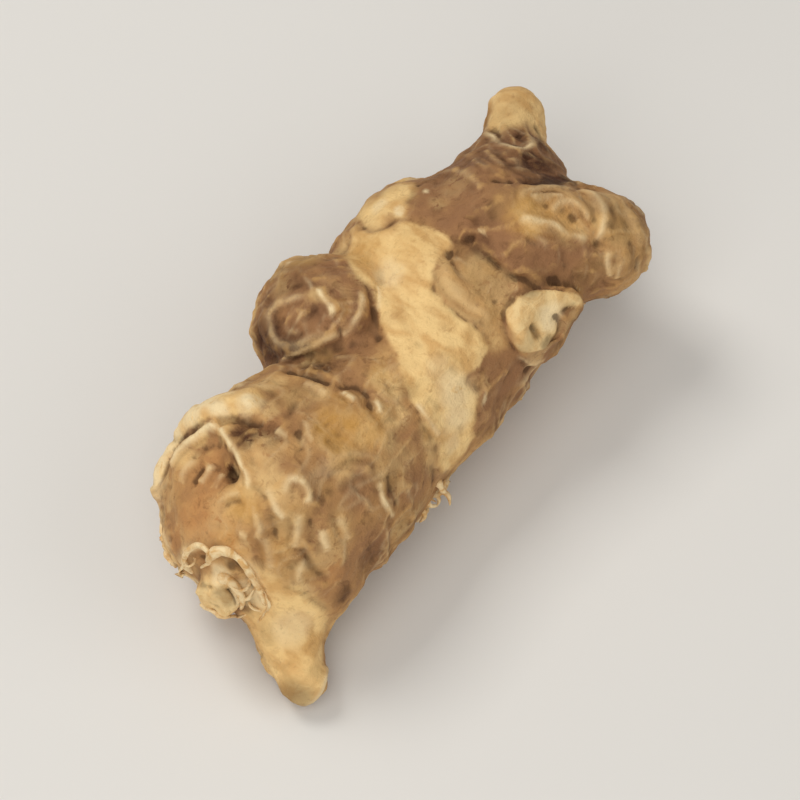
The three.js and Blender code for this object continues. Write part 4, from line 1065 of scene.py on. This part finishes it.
def add_leaf(parts, skin, line, height, lean, thick, draw):
    """The torn remains of a scale leaf: a thin upright strip along a line on the skin, with a ragged top."""
    feet, outward = on_skin(skin, line)
    travelled = path_lengths(feet)
    along = unit(np.gradient(feet, axis=0))
    aside = unit(np.cross(along, outward))
    seed = draw.integers(1000)
    spots = np.stack([travelled, np.full_like(travelled, seed * 1.7), np.zeros_like(travelled)], axis=1)
    ends = np.sin(np.pi * np.clip(travelled / travelled[-1], 0.02, 0.98)) ** 0.5
    tall = height * ends * (0.75 + 0.5 * noise(spots / 1.4, 71) + 0.45 * noise(spots / 0.45, 72))
    tall = np.maximum(tall, 0.08)
    bend = lean + 0.7 * noise(spots / 1.2, 73)
    levels = np.linspace(0, 1, 5)
    sections = []
    for i, foot in enumerate(feet):
        middle, front, back = foot - ROOTED * outward[i], [], []
        for level in levels:
            turn = bend[i] * level
            way = math.cos(turn) * outward[i] + math.sin(turn) * aside[i]
            flat = math.cos(turn) * aside[i] - math.sin(turn) * outward[i]
            half = 0.5 * thick * (1.15 - 0.8 * level)
            front.append(middle + half * flat)
            back.append(middle - half * flat)
            middle = middle + way * (tall[i] + ROOTED) / (len(levels) - 1)
        sections.append(front + back[::-1])
    parts.add(sections)


def add_fibre(parts, skin, start, way, length, radius, draw, curl, lift):
    """A dry root fibre that starts inside the skin and curls over it, thinning to its end."""
    hit = skin.tree.find_nearest(Vector(start))
    outward = np.array(hit[1])
    point = np.array(hit[0]) - ROOTED * outward
    way = unit(np.asarray(way, float) + 0.9 * outward)
    turn_axis = unit(draw.normal(size=3))
    step = 0.22
    path = [point]
    for i in range(max(8, int(length / step))):
        hit = skin.tree.find_nearest(Vector(point))
        outward = np.array(hit[1])
        gap = (point - np.array(hit[0])) @ outward
        turn_axis = unit(turn_axis + 0.35 * draw.normal(size=3))
        push = np.clip(0.8 * (radius + lift * min(i, 8) / 8 - gap), -0.5, 0.9)
        way = unit(way + curl * step * np.cross(turn_axis, way) * 2.2 + push * outward * 0.6)
        point = point + step * way
        path.append(point)
    path = np.array(path)
    path[1:-1] = 0.25 * path[:-2] + 0.5 * path[1:-1] + 0.25 * path[2:]
    add_tube(parts, path, radius, draw)


def add_tube(parts, path, radius, draw, around=7):
    """A thin, slightly uneven round shape along a path."""
    tangents = unit(np.gradient(path, axis=0))
    side = unit(np.cross(tangents[0], unit(draw.normal(size=3))))
    shares = np.linspace(0, 1, len(path))
    wide = radius * (1 - 0.6 * shares**1.5) * (1 + 0.14 * np.sin(9 * shares + draw.uniform(0, 6)))
    wide = wide * (1 + 0.22 * noise(path / 0.8, 75)) * np.minimum(1, 0.5 + 5 * shares)
    wide[-1] *= 0.5
    angles = np.arange(around) * 2 * math.pi / around
    sections = []
    for point, tangent, size in zip(path, tangents, wide):
        side = unit(side - (side @ tangent) * tangent)
        up = np.cross(tangent, side)
        sections.append([point + size * (math.cos(a) * side + 0.8 * math.sin(a) * up) for a in angles])
    parts.add(sections)


RING_TILT = 0.12  # how far a leaf's foot strays along its limb, as a share of the limb's radius


def ring_line(skin, name, share, start, end):
    """A line on the skin part of the way round a limb, between two angles in degrees."""
    tube = TUBES[NAMES.index(name)]
    index = min(int(share * (len(tube.centres) - 1)), len(tube.centres) - 1)
    centre, along = tube.centres[index], tube.tangents[index]
    line = []
    for degrees in np.linspace(start, end, max(8, int(abs(end - start) / 6))):
        turn = math.radians(degrees)
        way = math.cos(turn) * tube.across[index] + math.sin(turn) * tube.above[index]
        way = way + RING_TILT * math.sin(2 * turn + start) * along
        hit = skin.tree.ray_cast(Vector(centre + OUTSIDE * unit(way)), Vector(-unit(way)))[0]
        if hit is not None and (not line or (hit - line[-1]).length < 3):
            line.append(hit)
    return np.array(line)


def new_piece(name, points, faces):
    """A smooth-shaded mesh piece from points in millimetres."""
    mesh = bpy.data.meshes.new(name)
    mesh.from_pydata((np.asarray(points) * MM).tolist(), [], faces)
    mesh.polygons.foreach_set("use_smooth", [True] * len(mesh.polygons))
    mesh.update()
    piece = bpy.data.objects.new(name, mesh)
    bpy.context.scene.collection.objects.link(piece)
    return piece


def store(piece, name, values):
    """Keeps one value for each point of a piece, for its material to read."""
    layer = piece.data.attributes.new(name, "FLOAT", "POINT")
    layer.data.foreach_set("value", np.asarray(values, np.float32))


# Node trees, written as expressions.


def linear(code):
    """A colour written as a six-digit web code, as the scene-linear values that nodes take."""
    channels = [int(code[i : i + 2], 16) / 255 for i in (0, 2, 4)]
    return tuple(c / 12.92 if c <= 0.04045 else ((c + 0.055) / 1.055) ** 2.4 for c in channels)


class Signal:
    """A node's output. Arithmetic on signals adds Math nodes to the material."""

    def __init__(self, look, socket):
        self.look = look
        self.socket = socket

    def math(self, operation, *values, clamp=False):
        return self.look.node("Math", {"operation": operation, "use_clamp": clamp}, dict(enumerate(values)))

    def __add__(self, other):
        return self.math("ADD", self, other)

    def __sub__(self, other):
        return self.math("SUBTRACT", self, other)

    def __mul__(self, other):
        return self.math("MULTIPLY", self, other)

    def __rsub__(self, other):
        return self.math("SUBTRACT", other, self)

    __radd__ = __add__
    __rmul__ = __mul__

    def clamped(self):
        return self.math("ADD", self, 0.0, clamp=True)

    def most(self, other):
        return self.math("MAXIMUM", self, other)

    def between(self, low, high):
        """0 at low and below, 1 at high and above, with a smooth rise."""
        settings = {"interpolation_type": "SMOOTHSTEP"}
        return self.look.node("MapRange", settings, {"Value": self, "From Min": low, "From Max": high})


class Look:
    """A material and the nodes that are added to it."""

    def __init__(self, name):
        self.material = bpy.data.materials.new(name)
        self.material.use_nodes = True
        self.tree = self.material.node_tree
        self.tree.nodes.clear()

    def node(self, kind, settings=None, sockets=None, output=0):
        """Adds a node: first its settings, then the values or links of its sockets."""
        node = self.tree.nodes.new("ShaderNode" + kind)
        for name, value in (settings or {}).items():
            setattr(node, name, value)
        for name, value in (sockets or {}).items():
            socket = node.inputs[name]
            if isinstance(value, Signal):
                self.tree.links.new(value.socket, socket)
            else:
                socket.default_value = value
        return Signal(self, node.outputs[output])

    def mark(self, name):
        """A value kept on the mesh's points."""
        return self.node("Attribute", {"attribute_name": name}, output="Fac")

    def place(self):
        return self.node("TexCoord", output="Object")

    def noise(self, size, detail, roughness, distortion, where=None):
        """Noise with lumps of a size in metres, from 0 to 1."""
        sockets = {
            "Vector": where or self.place(),
            "Scale": 1 / size,
            "Detail": detail,
            "Roughness": roughness,
            "Distortion": distortion,
        }
        return self.node("TexNoise", None, sockets)

    def mix(self, factor, a, b):
        """Colour a where the factor is 0, and b where it is 1."""
        a, b = (value if isinstance(value, Signal) else (*value, 1.0) for value in (a, b))
        return self.node("Mix", {"data_type": "RGBA"}, {0: factor, 6: a, 7: b}, output=2)

    def stretched(self, scale):
        """The place with each axis scaled, so that noise draws out."""
        return self.node("VectorMath", {"operation": "MULTIPLY"}, {0: self.place(), 1: scale})

    def finished(self, sockets):
        """The material, once a surface shader with these sockets is in place."""
        shader = self.node("BsdfPrincipled", None, sockets)
        output = self.tree.nodes.new("ShaderNodeOutputMaterial")
        self.tree.links.new(shader.socket, output.inputs["Surface"])
        return self.material

    def bump(self, height, depth):
        """A bump of the given depth in metres."""
        return self.node("Bump", None, {"Height": height, "Distance": depth, "Strength": 1.0})


def bark_material(colours, grain):
    """Mauve-brown bark over rust-coloured and tan layers, pale on torn edges, with shade painted in its
    hollows and folds.
    """
    look = Look("galangal_bark")
    marks = {name: look.mark(name) for name in (*Skin.MARKS, "hollow")}
    coarse = look.noise(4.5 * MM, 4.0, 0.6, 0.6)
    medium = look.noise(1.6 * MM, 4.0, 0.65, 0.8)
    fine = look.noise(0.42 * MM, 3.0, 0.6, 0.4)
    specks = look.noise(0.9 * MM, 2.0, 0.5, 1.2)
    streaks = look.noise(1.5 * MM, 3.0, 0.5, 0.3, look.stretched((1.0, 0.4, 0.9)))
    broad = look.noise(7.0 * MM, 2.0, 0.5, 0.8)
    base = look.mix(coarse.between(0.35, 0.65) * 0.7, colours.tan_brown, colours.bark)
    base = look.mix(broad.between(0.45, 0.7) * 0.25, base, colours.olive)
    base = look.mix(marks["rust"] * medium.between(0.15, 0.6) * 0.85, base, colours.rust)
    base = look.mix(marks["bark"] * (0.7 + 0.3 * coarse.between(0.3, 0.6)), base, colours.bark)
    base = look.mix(medium.between(0.52, 0.7) * 0.55, base, colours.dark_bark)
    # The deep mark gives the almost purple bark, and also painted shade in gaps, folds and on lower sides.
    base = look.mix(marks["deep"] * (0.5 + 0.5 * medium.between(0.3, 0.6)), base, colours.deep)
    worn = look.mix(streaks.between(0.38, 0.68) * 0.85, colours.worn, colours.worn_deep)
    worn = look.mix(coarse.between(0.5, 0.72) * 0.4, worn, colours.olive)
    worn = look.mix(medium.between(0.56, 0.72) * 0.45, worn, colours.tan_brown)
    scuffed = (marks["worn"] * 1.2 - 0.3 * specks.between(0.55, 0.72)).clamped()
    base = look.mix(scuffed, base, worn)
    base = look.mix(marks["olive"] * (0.4 + 0.3 * medium.between(0.3, 0.6)), base, colours.olive)
    base = look.mix(marks["ochre"] * (0.45 + 0.35 * medium.between(0.35, 0.65)), base, colours.ochre)
    crest = (1 - marks["hollow"]).between(0.52, 0.75)
    base = look.mix(crest * 0.55 * medium.between(0.35, 0.6), base, colours.worn_deep)
    flesh = look.mix(medium.between(0.4, 0.65) * 0.5 + 0.2 * fine, colours.flesh, colours.worn_deep)
    base = look.mix(marks["cut"], base, flesh)
    base = look.mix((marks["edge"] * 1.2).clamped() * specks.between(0.1, 0.45), base, colours.edge)
    base = look.mix(fine.between(0.55, 0.8) * 0.22, base, colours.dark_bark)
    # Painted shade: the crease colour goes where the skin is sunken, less on worn places, and where the
    # crease marks lie.
    sunken_shade = marks["hollow"].between(0.54, 0.86) * (0.7 - 0.35 * marks["worn"])
    dark = sunken_shade.most((marks["crease_shade_and_fleck"] * 1.1).clamped() * 0.85)
    base = look.mix(dark, base, colours.crease_shade_and_fleck)
    folds = look.noise(0.8 * MM, 3.0, 0.6, 1.5, look.stretched((0.45, 1.0, 1.0)))
    sockets = {
        "Base Color": base,
        "Roughness": 0.62 + 0.2 * medium - 0.08 * marks["worn"],
        "Specular IOR Level": 0.2,
        "Normal": look.bump(0.5 * fine + 0.7 * medium + 0.6 * folds, grain),
    }
    return look.finished(sockets)


def dry_material(name, pale, deep, crease_shade_and_fleck):
    """A dry, matt, fibrous finish for torn scale leaves and root fibres."""
    look = Look(name)
    medium = look.noise(1.1 * MM, 3.0, 0.6, 0.6)
    fine = look.noise(0.3 * MM, 3.0, 0.6, 0.5)
    base = look.mix(medium.between(0.35, 0.7), pale, deep)
    base = look.mix(fine.between(0.6, 0.85) * 0.45, base, crease_shade_and_fleck)
    sockets = {
        "Base Color": base,
        "Roughness": 0.6 + 0.2 * fine,
        "Specular IOR Level": 0.22,
        "Normal": look.bump(fine + 0.5 * medium, 0.06 * MM),
    }
    return look.finished(sockets)


class GalangalSizes(bpy.types.PropertyGroup):
    """Sizes to set before the pieces are made"""

    voxel: FloatProperty(
        name="Mesh step", description="Size of the squares that the skin is made of",
        default=0.25 * MM, min=0.1 * MM, unit="LENGTH", precision=5,
    )
    wrinkle: FloatProperty(
        name="Wrinkle height", description="Height of the folds that run along each limb",
        default=0.26 * MM, min=0.0, unit="LENGTH", precision=5,
    )
    grain: FloatProperty(
        name="Grain depth", description="Depth of the bark's finest grain, which its material draws",
        default=0.17 * MM, min=0.0, unit="LENGTH", precision=5,
    )
    leaf: FloatProperty(
        name="Leaf thickness", description="Thickness of the torn scale leaves",
        default=0.16 * MM, min=0.02 * MM, unit="LENGTH", precision=5,
    )


def tone(name, description, code):
    """A colour property with its default given as a web code."""
    return FloatVectorProperty(
        name=name, description=description, default=linear(code), size=3, min=0.0, max=1.0, subtype="COLOR",
    )


class GalangalColours(bpy.types.PropertyGroup):
    """Colours of the bark, the cut faces, the scale leaves and the fibres"""

    bark: tone("Bark", "Mauve-brown outer bark", "966C49")
    tan_brown: tone("Tan brown", "Lighter bark between the darker patches", "B88B58")
    dark_bark: tone("Dark bark", "Weathered bark", "664529")
    # Also the colour of painted shade in gaps, folds and on lower sides.
    deep: tone("Deep bark", "The darkest, almost purple bark", "4A2A18")
    ochre: tone("Ochre", "Yellow-brown patches", "C8964C")
    olive: tone("Olive", "Greyish tan patches", "A5824F")
    rust: tone("Rust", "The orange-brown layer under the bark", "C28B54")
    worn: tone("Worn", "Bark rubbed down to pale tan", "F2CE8F")
    worn_deep: tone("Worn, deeper", "The deeper tan beside the palest places", "D2A466")
    flesh: tone("Flesh", "Cut faces", "EDCF97")
    edge: tone("Torn edge", "Thin torn edges and rims", "EFD7A9")
    # The colour of painted shade in sunken places, fold bottoms and gaps on the bark; the fibres use another
    # colour in this place for dark flecks.
    crease_shade_and_fleck: tone("Crease", "The bottom of deep folds", "361F0E")


SHAPED = {}


def shaped(context):
    """The finished skin, shaped once for the same sizes."""
    sizes = context.scene.galangal_sizes
    key = (sizes.voxel, sizes.wrinkle)
    if key not in SHAPED:
        SHAPED[key] = shape_skin(sizes)
    return SHAPED[key]


class GALANGAL_OT_body(bpy.types.Operator):
    """Makes the skin of the whole rhizome, with its relief and its bark"""

    bl_idname = "galangal.body"
    bl_label = "Rhizome"

    def execute(self, context):
        skin = shaped(context)
        body = new_piece("galangal_bark", skin.points, skin.faces)
        for name, values in skin.marks.items():
            store(body, name, values)
        material = bark_material(context.scene.galangal_colours, context.scene.galangal_sizes.grain)
        body.data.materials.append(material)
        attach(body, "root")
        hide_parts(NODE)
        return {"FINISHED"}


# Torn scale leaves on the near side: the line of the foot, the height, and the lean.
NEAR_LEAVES = [
    ([(-18.9, -15.2), (-18.4, -13.3), (-17.0, -12.2)], 0.7, 1.0),
    ([(-12.9, -13.9), (-11.9, -15.6), (-11.3, -17.4), (-12.2, -18.9)], 0.6, -1.0),
    ([(-20.8, -10.4), (-20.3, -12.6), (-19.3, -14.6)], 0.5, 0.7),
    ([(4.0, -8.6), (4.8, -9.2), (5.6, -8.9), (6.0, -9.6)], 0.9, 0.8),
    ([(3.4, -9.4), (4.2, -10.0), (5.0, -10.2)], 0.7, -0.8),
]

# The same on the other sides: the limb, how far along it, the angles round it, the height and the lean.
FAR_LEAVES = [
    ("rhizome", 0.02, 110, 200, 0.4, 1.1), ("rhizome", 0.22, 120, 230, 0.4, 1.0),
    ("rhizome", 0.48, 150, 250, 0.5, 0.8), ("rhizome", 0.34, 200, 290, 0.5, -0.8),
    ("rhizome", 0.6, 250, 330, 0.5, 0.8), ("rhizome", 0.8, 240, 340, 0.6, 0.7),
    ("neck", 0.35, 100, 250, 0.5, 0.7), ("neck", 0.75, 120, 330, 0.4, 0.6),
    ("side_lobe", 0.55, -80, 20, 0.5, 0.7), ("side_lobe", 0.9, -120, 10, 0.5, 0.7),
    ("shoulder", 0.7, 140, 230, 0.5, 0.8), ("finger", 0.5, 130, 260, 0.35, 0.7),
]

# Thick dry curls round the snapped root: the path in the view, the radius and the lift.
CURLS = [
    (
        [
            (-16.3, -13.7), (-15.7, -12.9), (-14.7, -12.8), (-13.6, -13.4), (-12.6, -14.6), (-11.9, -16.0),
            (-11.5, -17.5),
        ],
        0.5, 0.15,
    ),
    (
        [
            (-17.8, -14.8), (-18.4, -13.8), (-18.0, -12.8), (-17.0, -12.3), (-16.2, -12.8), (-16.1, -13.7),
            (-17.0, -14.3),
        ],
        0.38, 0.15,
    ),
    ([(-15.4, -15.0), (-14.5, -15.4), (-13.8, -16.1), (-13.5, -17.0), (-13.6, -17.9)], 0.52, 0.2),
    ([(-13.6, -17.0), (-12.9, -16.6), (-12.3, -16.0)], 0.27, 0.35),
    ([(-17.8, -17.9), (-16.5, -18.8), (-14.8, -19.0), (-13.2, -18.4)], 0.28, 0.1),
]


class GALANGAL_OT_scale_leaves(bpy.types.Operator):
    """Makes the torn remains of the scale leaves"""

    bl_idname = "galangal.scale_leaves"
    bl_label = "Scale Leaves"

    def execute(self, context):
        skin = shaped(context)
        draw = np.random.default_rng(23)
        thick = context.scene.galangal_sizes.leaf / MM
        parts = Parts()
        for path, height, lean in NEAR_LEAVES:
            line = np.array([skin.spot(place) for place in curve_through(path, 14 * len(path))])
            add_leaf(parts, skin, line, height, lean, thick, draw)
        for path, radius, lift in CURLS:
            line = np.array([skin.spot(place) for place in curve_through(path, 9 * len(path))])
            feet, outward = on_skin(skin, line)
            feet[1:-1] = 0.25 * feet[:-2] + 0.5 * feet[1:-1] + 0.25 * feet[2:]
            rise = lift * np.sin(np.pi * np.linspace(0.05, 0.95, len(feet)))[:, None]
            add_tube(parts, feet + rise * outward, radius, draw, around=9)
        for name, share, start, end, height, lean in FAR_LEAVES:
            line = hidden_run(skin, ring_line(skin, name, share, start, end))
            add_leaf(parts, skin, curve_through(line[::2], 4 * len(line)), height, lean, thick, draw)
        leaves = parts.piece("scale_leaves")
        colours = context.scene.galangal_colours
        material = dry_material("scale_leaf", colours.edge, colours.worn_deep, colours.dark_bark)
        leaves.data.materials.append(material)
        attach(leaves, "root")
        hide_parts(NODE)
        return {"FINISHED"}


# Where fibres grow: the place in the view, the way they set out, how many, their length, radius and curl, and
# how far they rise from the skin.
NEAR_FIBRES = [
    ((-17.6, -13.6), (0.6, 0.5), 1, 3.0, 0.2, 0.9, 0.5),
    ((-12.6, -15.4), (0.6, -0.8), 1, 2.4, 0.18, 0.5, 0.3),
    ((-12.6, -17.6), (-0.2, -0.9), 1, 2.6, 0.2, 0.8, 0.5),
    ((3.4, -8.2), (0.9, -0.4), 3, 2.2, 0.36, 1.2, 1.0), ((2.7, -9.0), (0.8, -0.6), 3, 1.8, 0.32, 1.2, 0.9),
]


class GALANGAL_OT_root_fibres(bpy.types.Operator):
    """Makes the dry root fibres"""

    bl_idname = "galangal.root_fibres"
    bl_label = "Root Fibres"

    def execute(self, context):
        skin = shaped(context)
        draw = np.random.default_rng(31)
        parts = Parts()
        for place, (right, up), count, length, radius, curl, lift in NEAR_FIBRES:
            for _ in range(count):
                start = skin.spot(np.array(place) + draw.normal(0, 0.5, 2))
                way = RIGHT * right + UPWARD * up + 0.4 * draw.normal(size=3)
                long = length * draw.uniform(0.7, 1.2)
                add_fibre(parts, skin, start, way, long, radius * draw.uniform(0.8, 1.15), draw, curl, lift)
        for start, axis, radius in FAR_SCARS:
            centre = np.array(skin.spot_outward(start, axis))
            if unit(axis) @ TOWARDS > -0.3:
                continue
            for _ in range(draw.integers(1, 4)):
                way = np.cross(unit(axis), draw.normal(size=3))
                root = centre + 0.8 * radius * unit(way)
                long = draw.uniform(1.5, 4.5)
                wide = draw.uniform(0.16, 0.28)
                curl = draw.uniform(0.4, 0.9)
                add_fibre(parts, skin, root, way, long, wide, draw, curl, 0.2)
        fibres = parts.piece("root_fibres")
        colours = context.scene.galangal_colours
        material = dry_material("root_fibre", colours.edge, colours.worn_deep, colours.bark)
        fibres.data.materials.append(material)
        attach(fibres, "root")
        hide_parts(NODE)
        return {"FINISHED"}


FLOOR_REACH = 3000  # millimetres
FLOOR_COLOUR = (0.76, 0.75, 0.73, 1.0)
LIGHT_COLOUR = (1.0, 0.97, 0.92)
ROOM_COLOUR = (1.0, 0.98, 0.95, 1.0)
ROOM_STRENGTH = 0.27


class GALANGAL_OT_stage(bpy.types.Operator):
    """Makes the pale floor, the studio light and the camera"""

    bl_idname = "galangal.stage"
    bl_label = "Stage"

    def execute(self, context):
        corners = [(x * FLOOR_REACH, y * FLOOR_REACH, 0) for x, y in ((-1, -1), (1, -1), (1, 1), (-1, 1))]
        floor = new_piece("floor", corners, [(0, 1, 2, 3)])
        floor.data.materials.append(Look("floor").finished({"Base Color": FLOOR_COLOUR, "Roughness": 0.75}))
        add_lights(context.scene)
        add_camera(context.scene)
        context.scene.view_settings.view_transform = "Standard"
        return {"FINISHED"}


def aimed(name, data, place, target):
    """An object at a place, looking at a target."""
    thing = bpy.data.objects.new(name, data)
    bpy.context.scene.collection.objects.link(thing)
    thing.location = Vector(place)
    thing.rotation_mode = "QUATERNION"
    thing.rotation_quaternion = (Vector(target) - Vector(place)).to_track_quat("-Z", "Y")
    return thing


# Each light's name, its place as (right, up, towards the camera) in metres from the piece, its size in
# metres, and its power in watts.
LIGHTS = [
    ("key", (-0.26, 0.42, 0.3), 0.24, 1.4),
    ("front", (-0.1, 0.0, 0.5), 0.4, 0.92),
    ("fill", (0.5, 0.05, 0.35), 0.5, 0.7),
    ("low_fill", (-0.25, -0.5, 0.4), 0.5, 1.45),
]


def add_lights(scene):
    target = VIEW_MIDDLE * MM
    for name, (right, up, towards), size, power in LIGHTS:
        light = bpy.data.lights.new(name, "AREA")
        light.energy = power
        light.size = size
        light.color = LIGHT_COLOUR
        aimed(name, light, target + RIGHT * right + UPWARD * up + TOWARDS * towards, target)
    world = bpy.data.worlds.new("studio")
    world.use_nodes = True
    room = world.node_tree.nodes["Background"].inputs
    room["Color"].default_value = ROOM_COLOUR
    room["Strength"].default_value = ROOM_STRENGTH
    scene.world = world


CAMERA_DISTANCE = 0.45  # metres, from the middle of the piece
FRAME_WIDTH = 0.070  # metres across the picture, at the piece
SENSOR_WIDTH = 36.0  # millimetres


def add_camera(scene):
    lens = bpy.data.cameras.new("camera")
    lens.sensor_width = SENSOR_WIDTH
    lens.lens = SENSOR_WIDTH * CAMERA_DISTANCE / FRAME_WIDTH
    lens.clip_start = 0.01
    target = VIEW_MIDDLE * MM
    scene.camera = aimed("camera", lens, target + TOWARDS * CAMERA_DISTANCE, target)


class GALANGAL_PT_panel(bpy.types.Panel):
    """Lists the sizes, the colours and the pieces to make"""

    bl_idname = "GALANGAL_PT_panel"
    bl_label = "Dried Galangal Root"
    bl_space_type = "VIEW_3D"
    bl_region_type = "UI"
    bl_category = "Galangal"

    def draw(self, context):
        for group in (context.scene.galangal_sizes, context.scene.galangal_colours):
            for name in group.__annotations__:
                self.layout.prop(group, name)
        for operator in OPERATORS:
            self.layout.operator(operator.bl_idname)


OPERATORS = (GALANGAL_OT_body, GALANGAL_OT_scale_leaves, GALANGAL_OT_root_fibres, GALANGAL_OT_stage)
CLASSES = (GalangalSizes, GalangalColours, *OPERATORS, GALANGAL_PT_panel)


def register():
    for one in CLASSES:
        bpy.utils.register_class(one)
    bpy.types.Scene.galangal_sizes = PointerProperty(type=GalangalSizes)
    bpy.types.Scene.galangal_colours = PointerProperty(type=GalangalColours)


def unregister():
    del bpy.types.Scene.galangal_colours
    del bpy.types.Scene.galangal_sizes
    for one in reversed(CLASSES):
        bpy.utils.unregister_class(one)


def main():
    """Makes the pieces and the stage."""
    register()
    bpy.ops.galangal.body()
    bpy.ops.galangal.scale_leaves()
    bpy.ops.galangal.root_fibres()
    bpy.ops.galangal.stage()


if __name__ == "__main__":
    main()
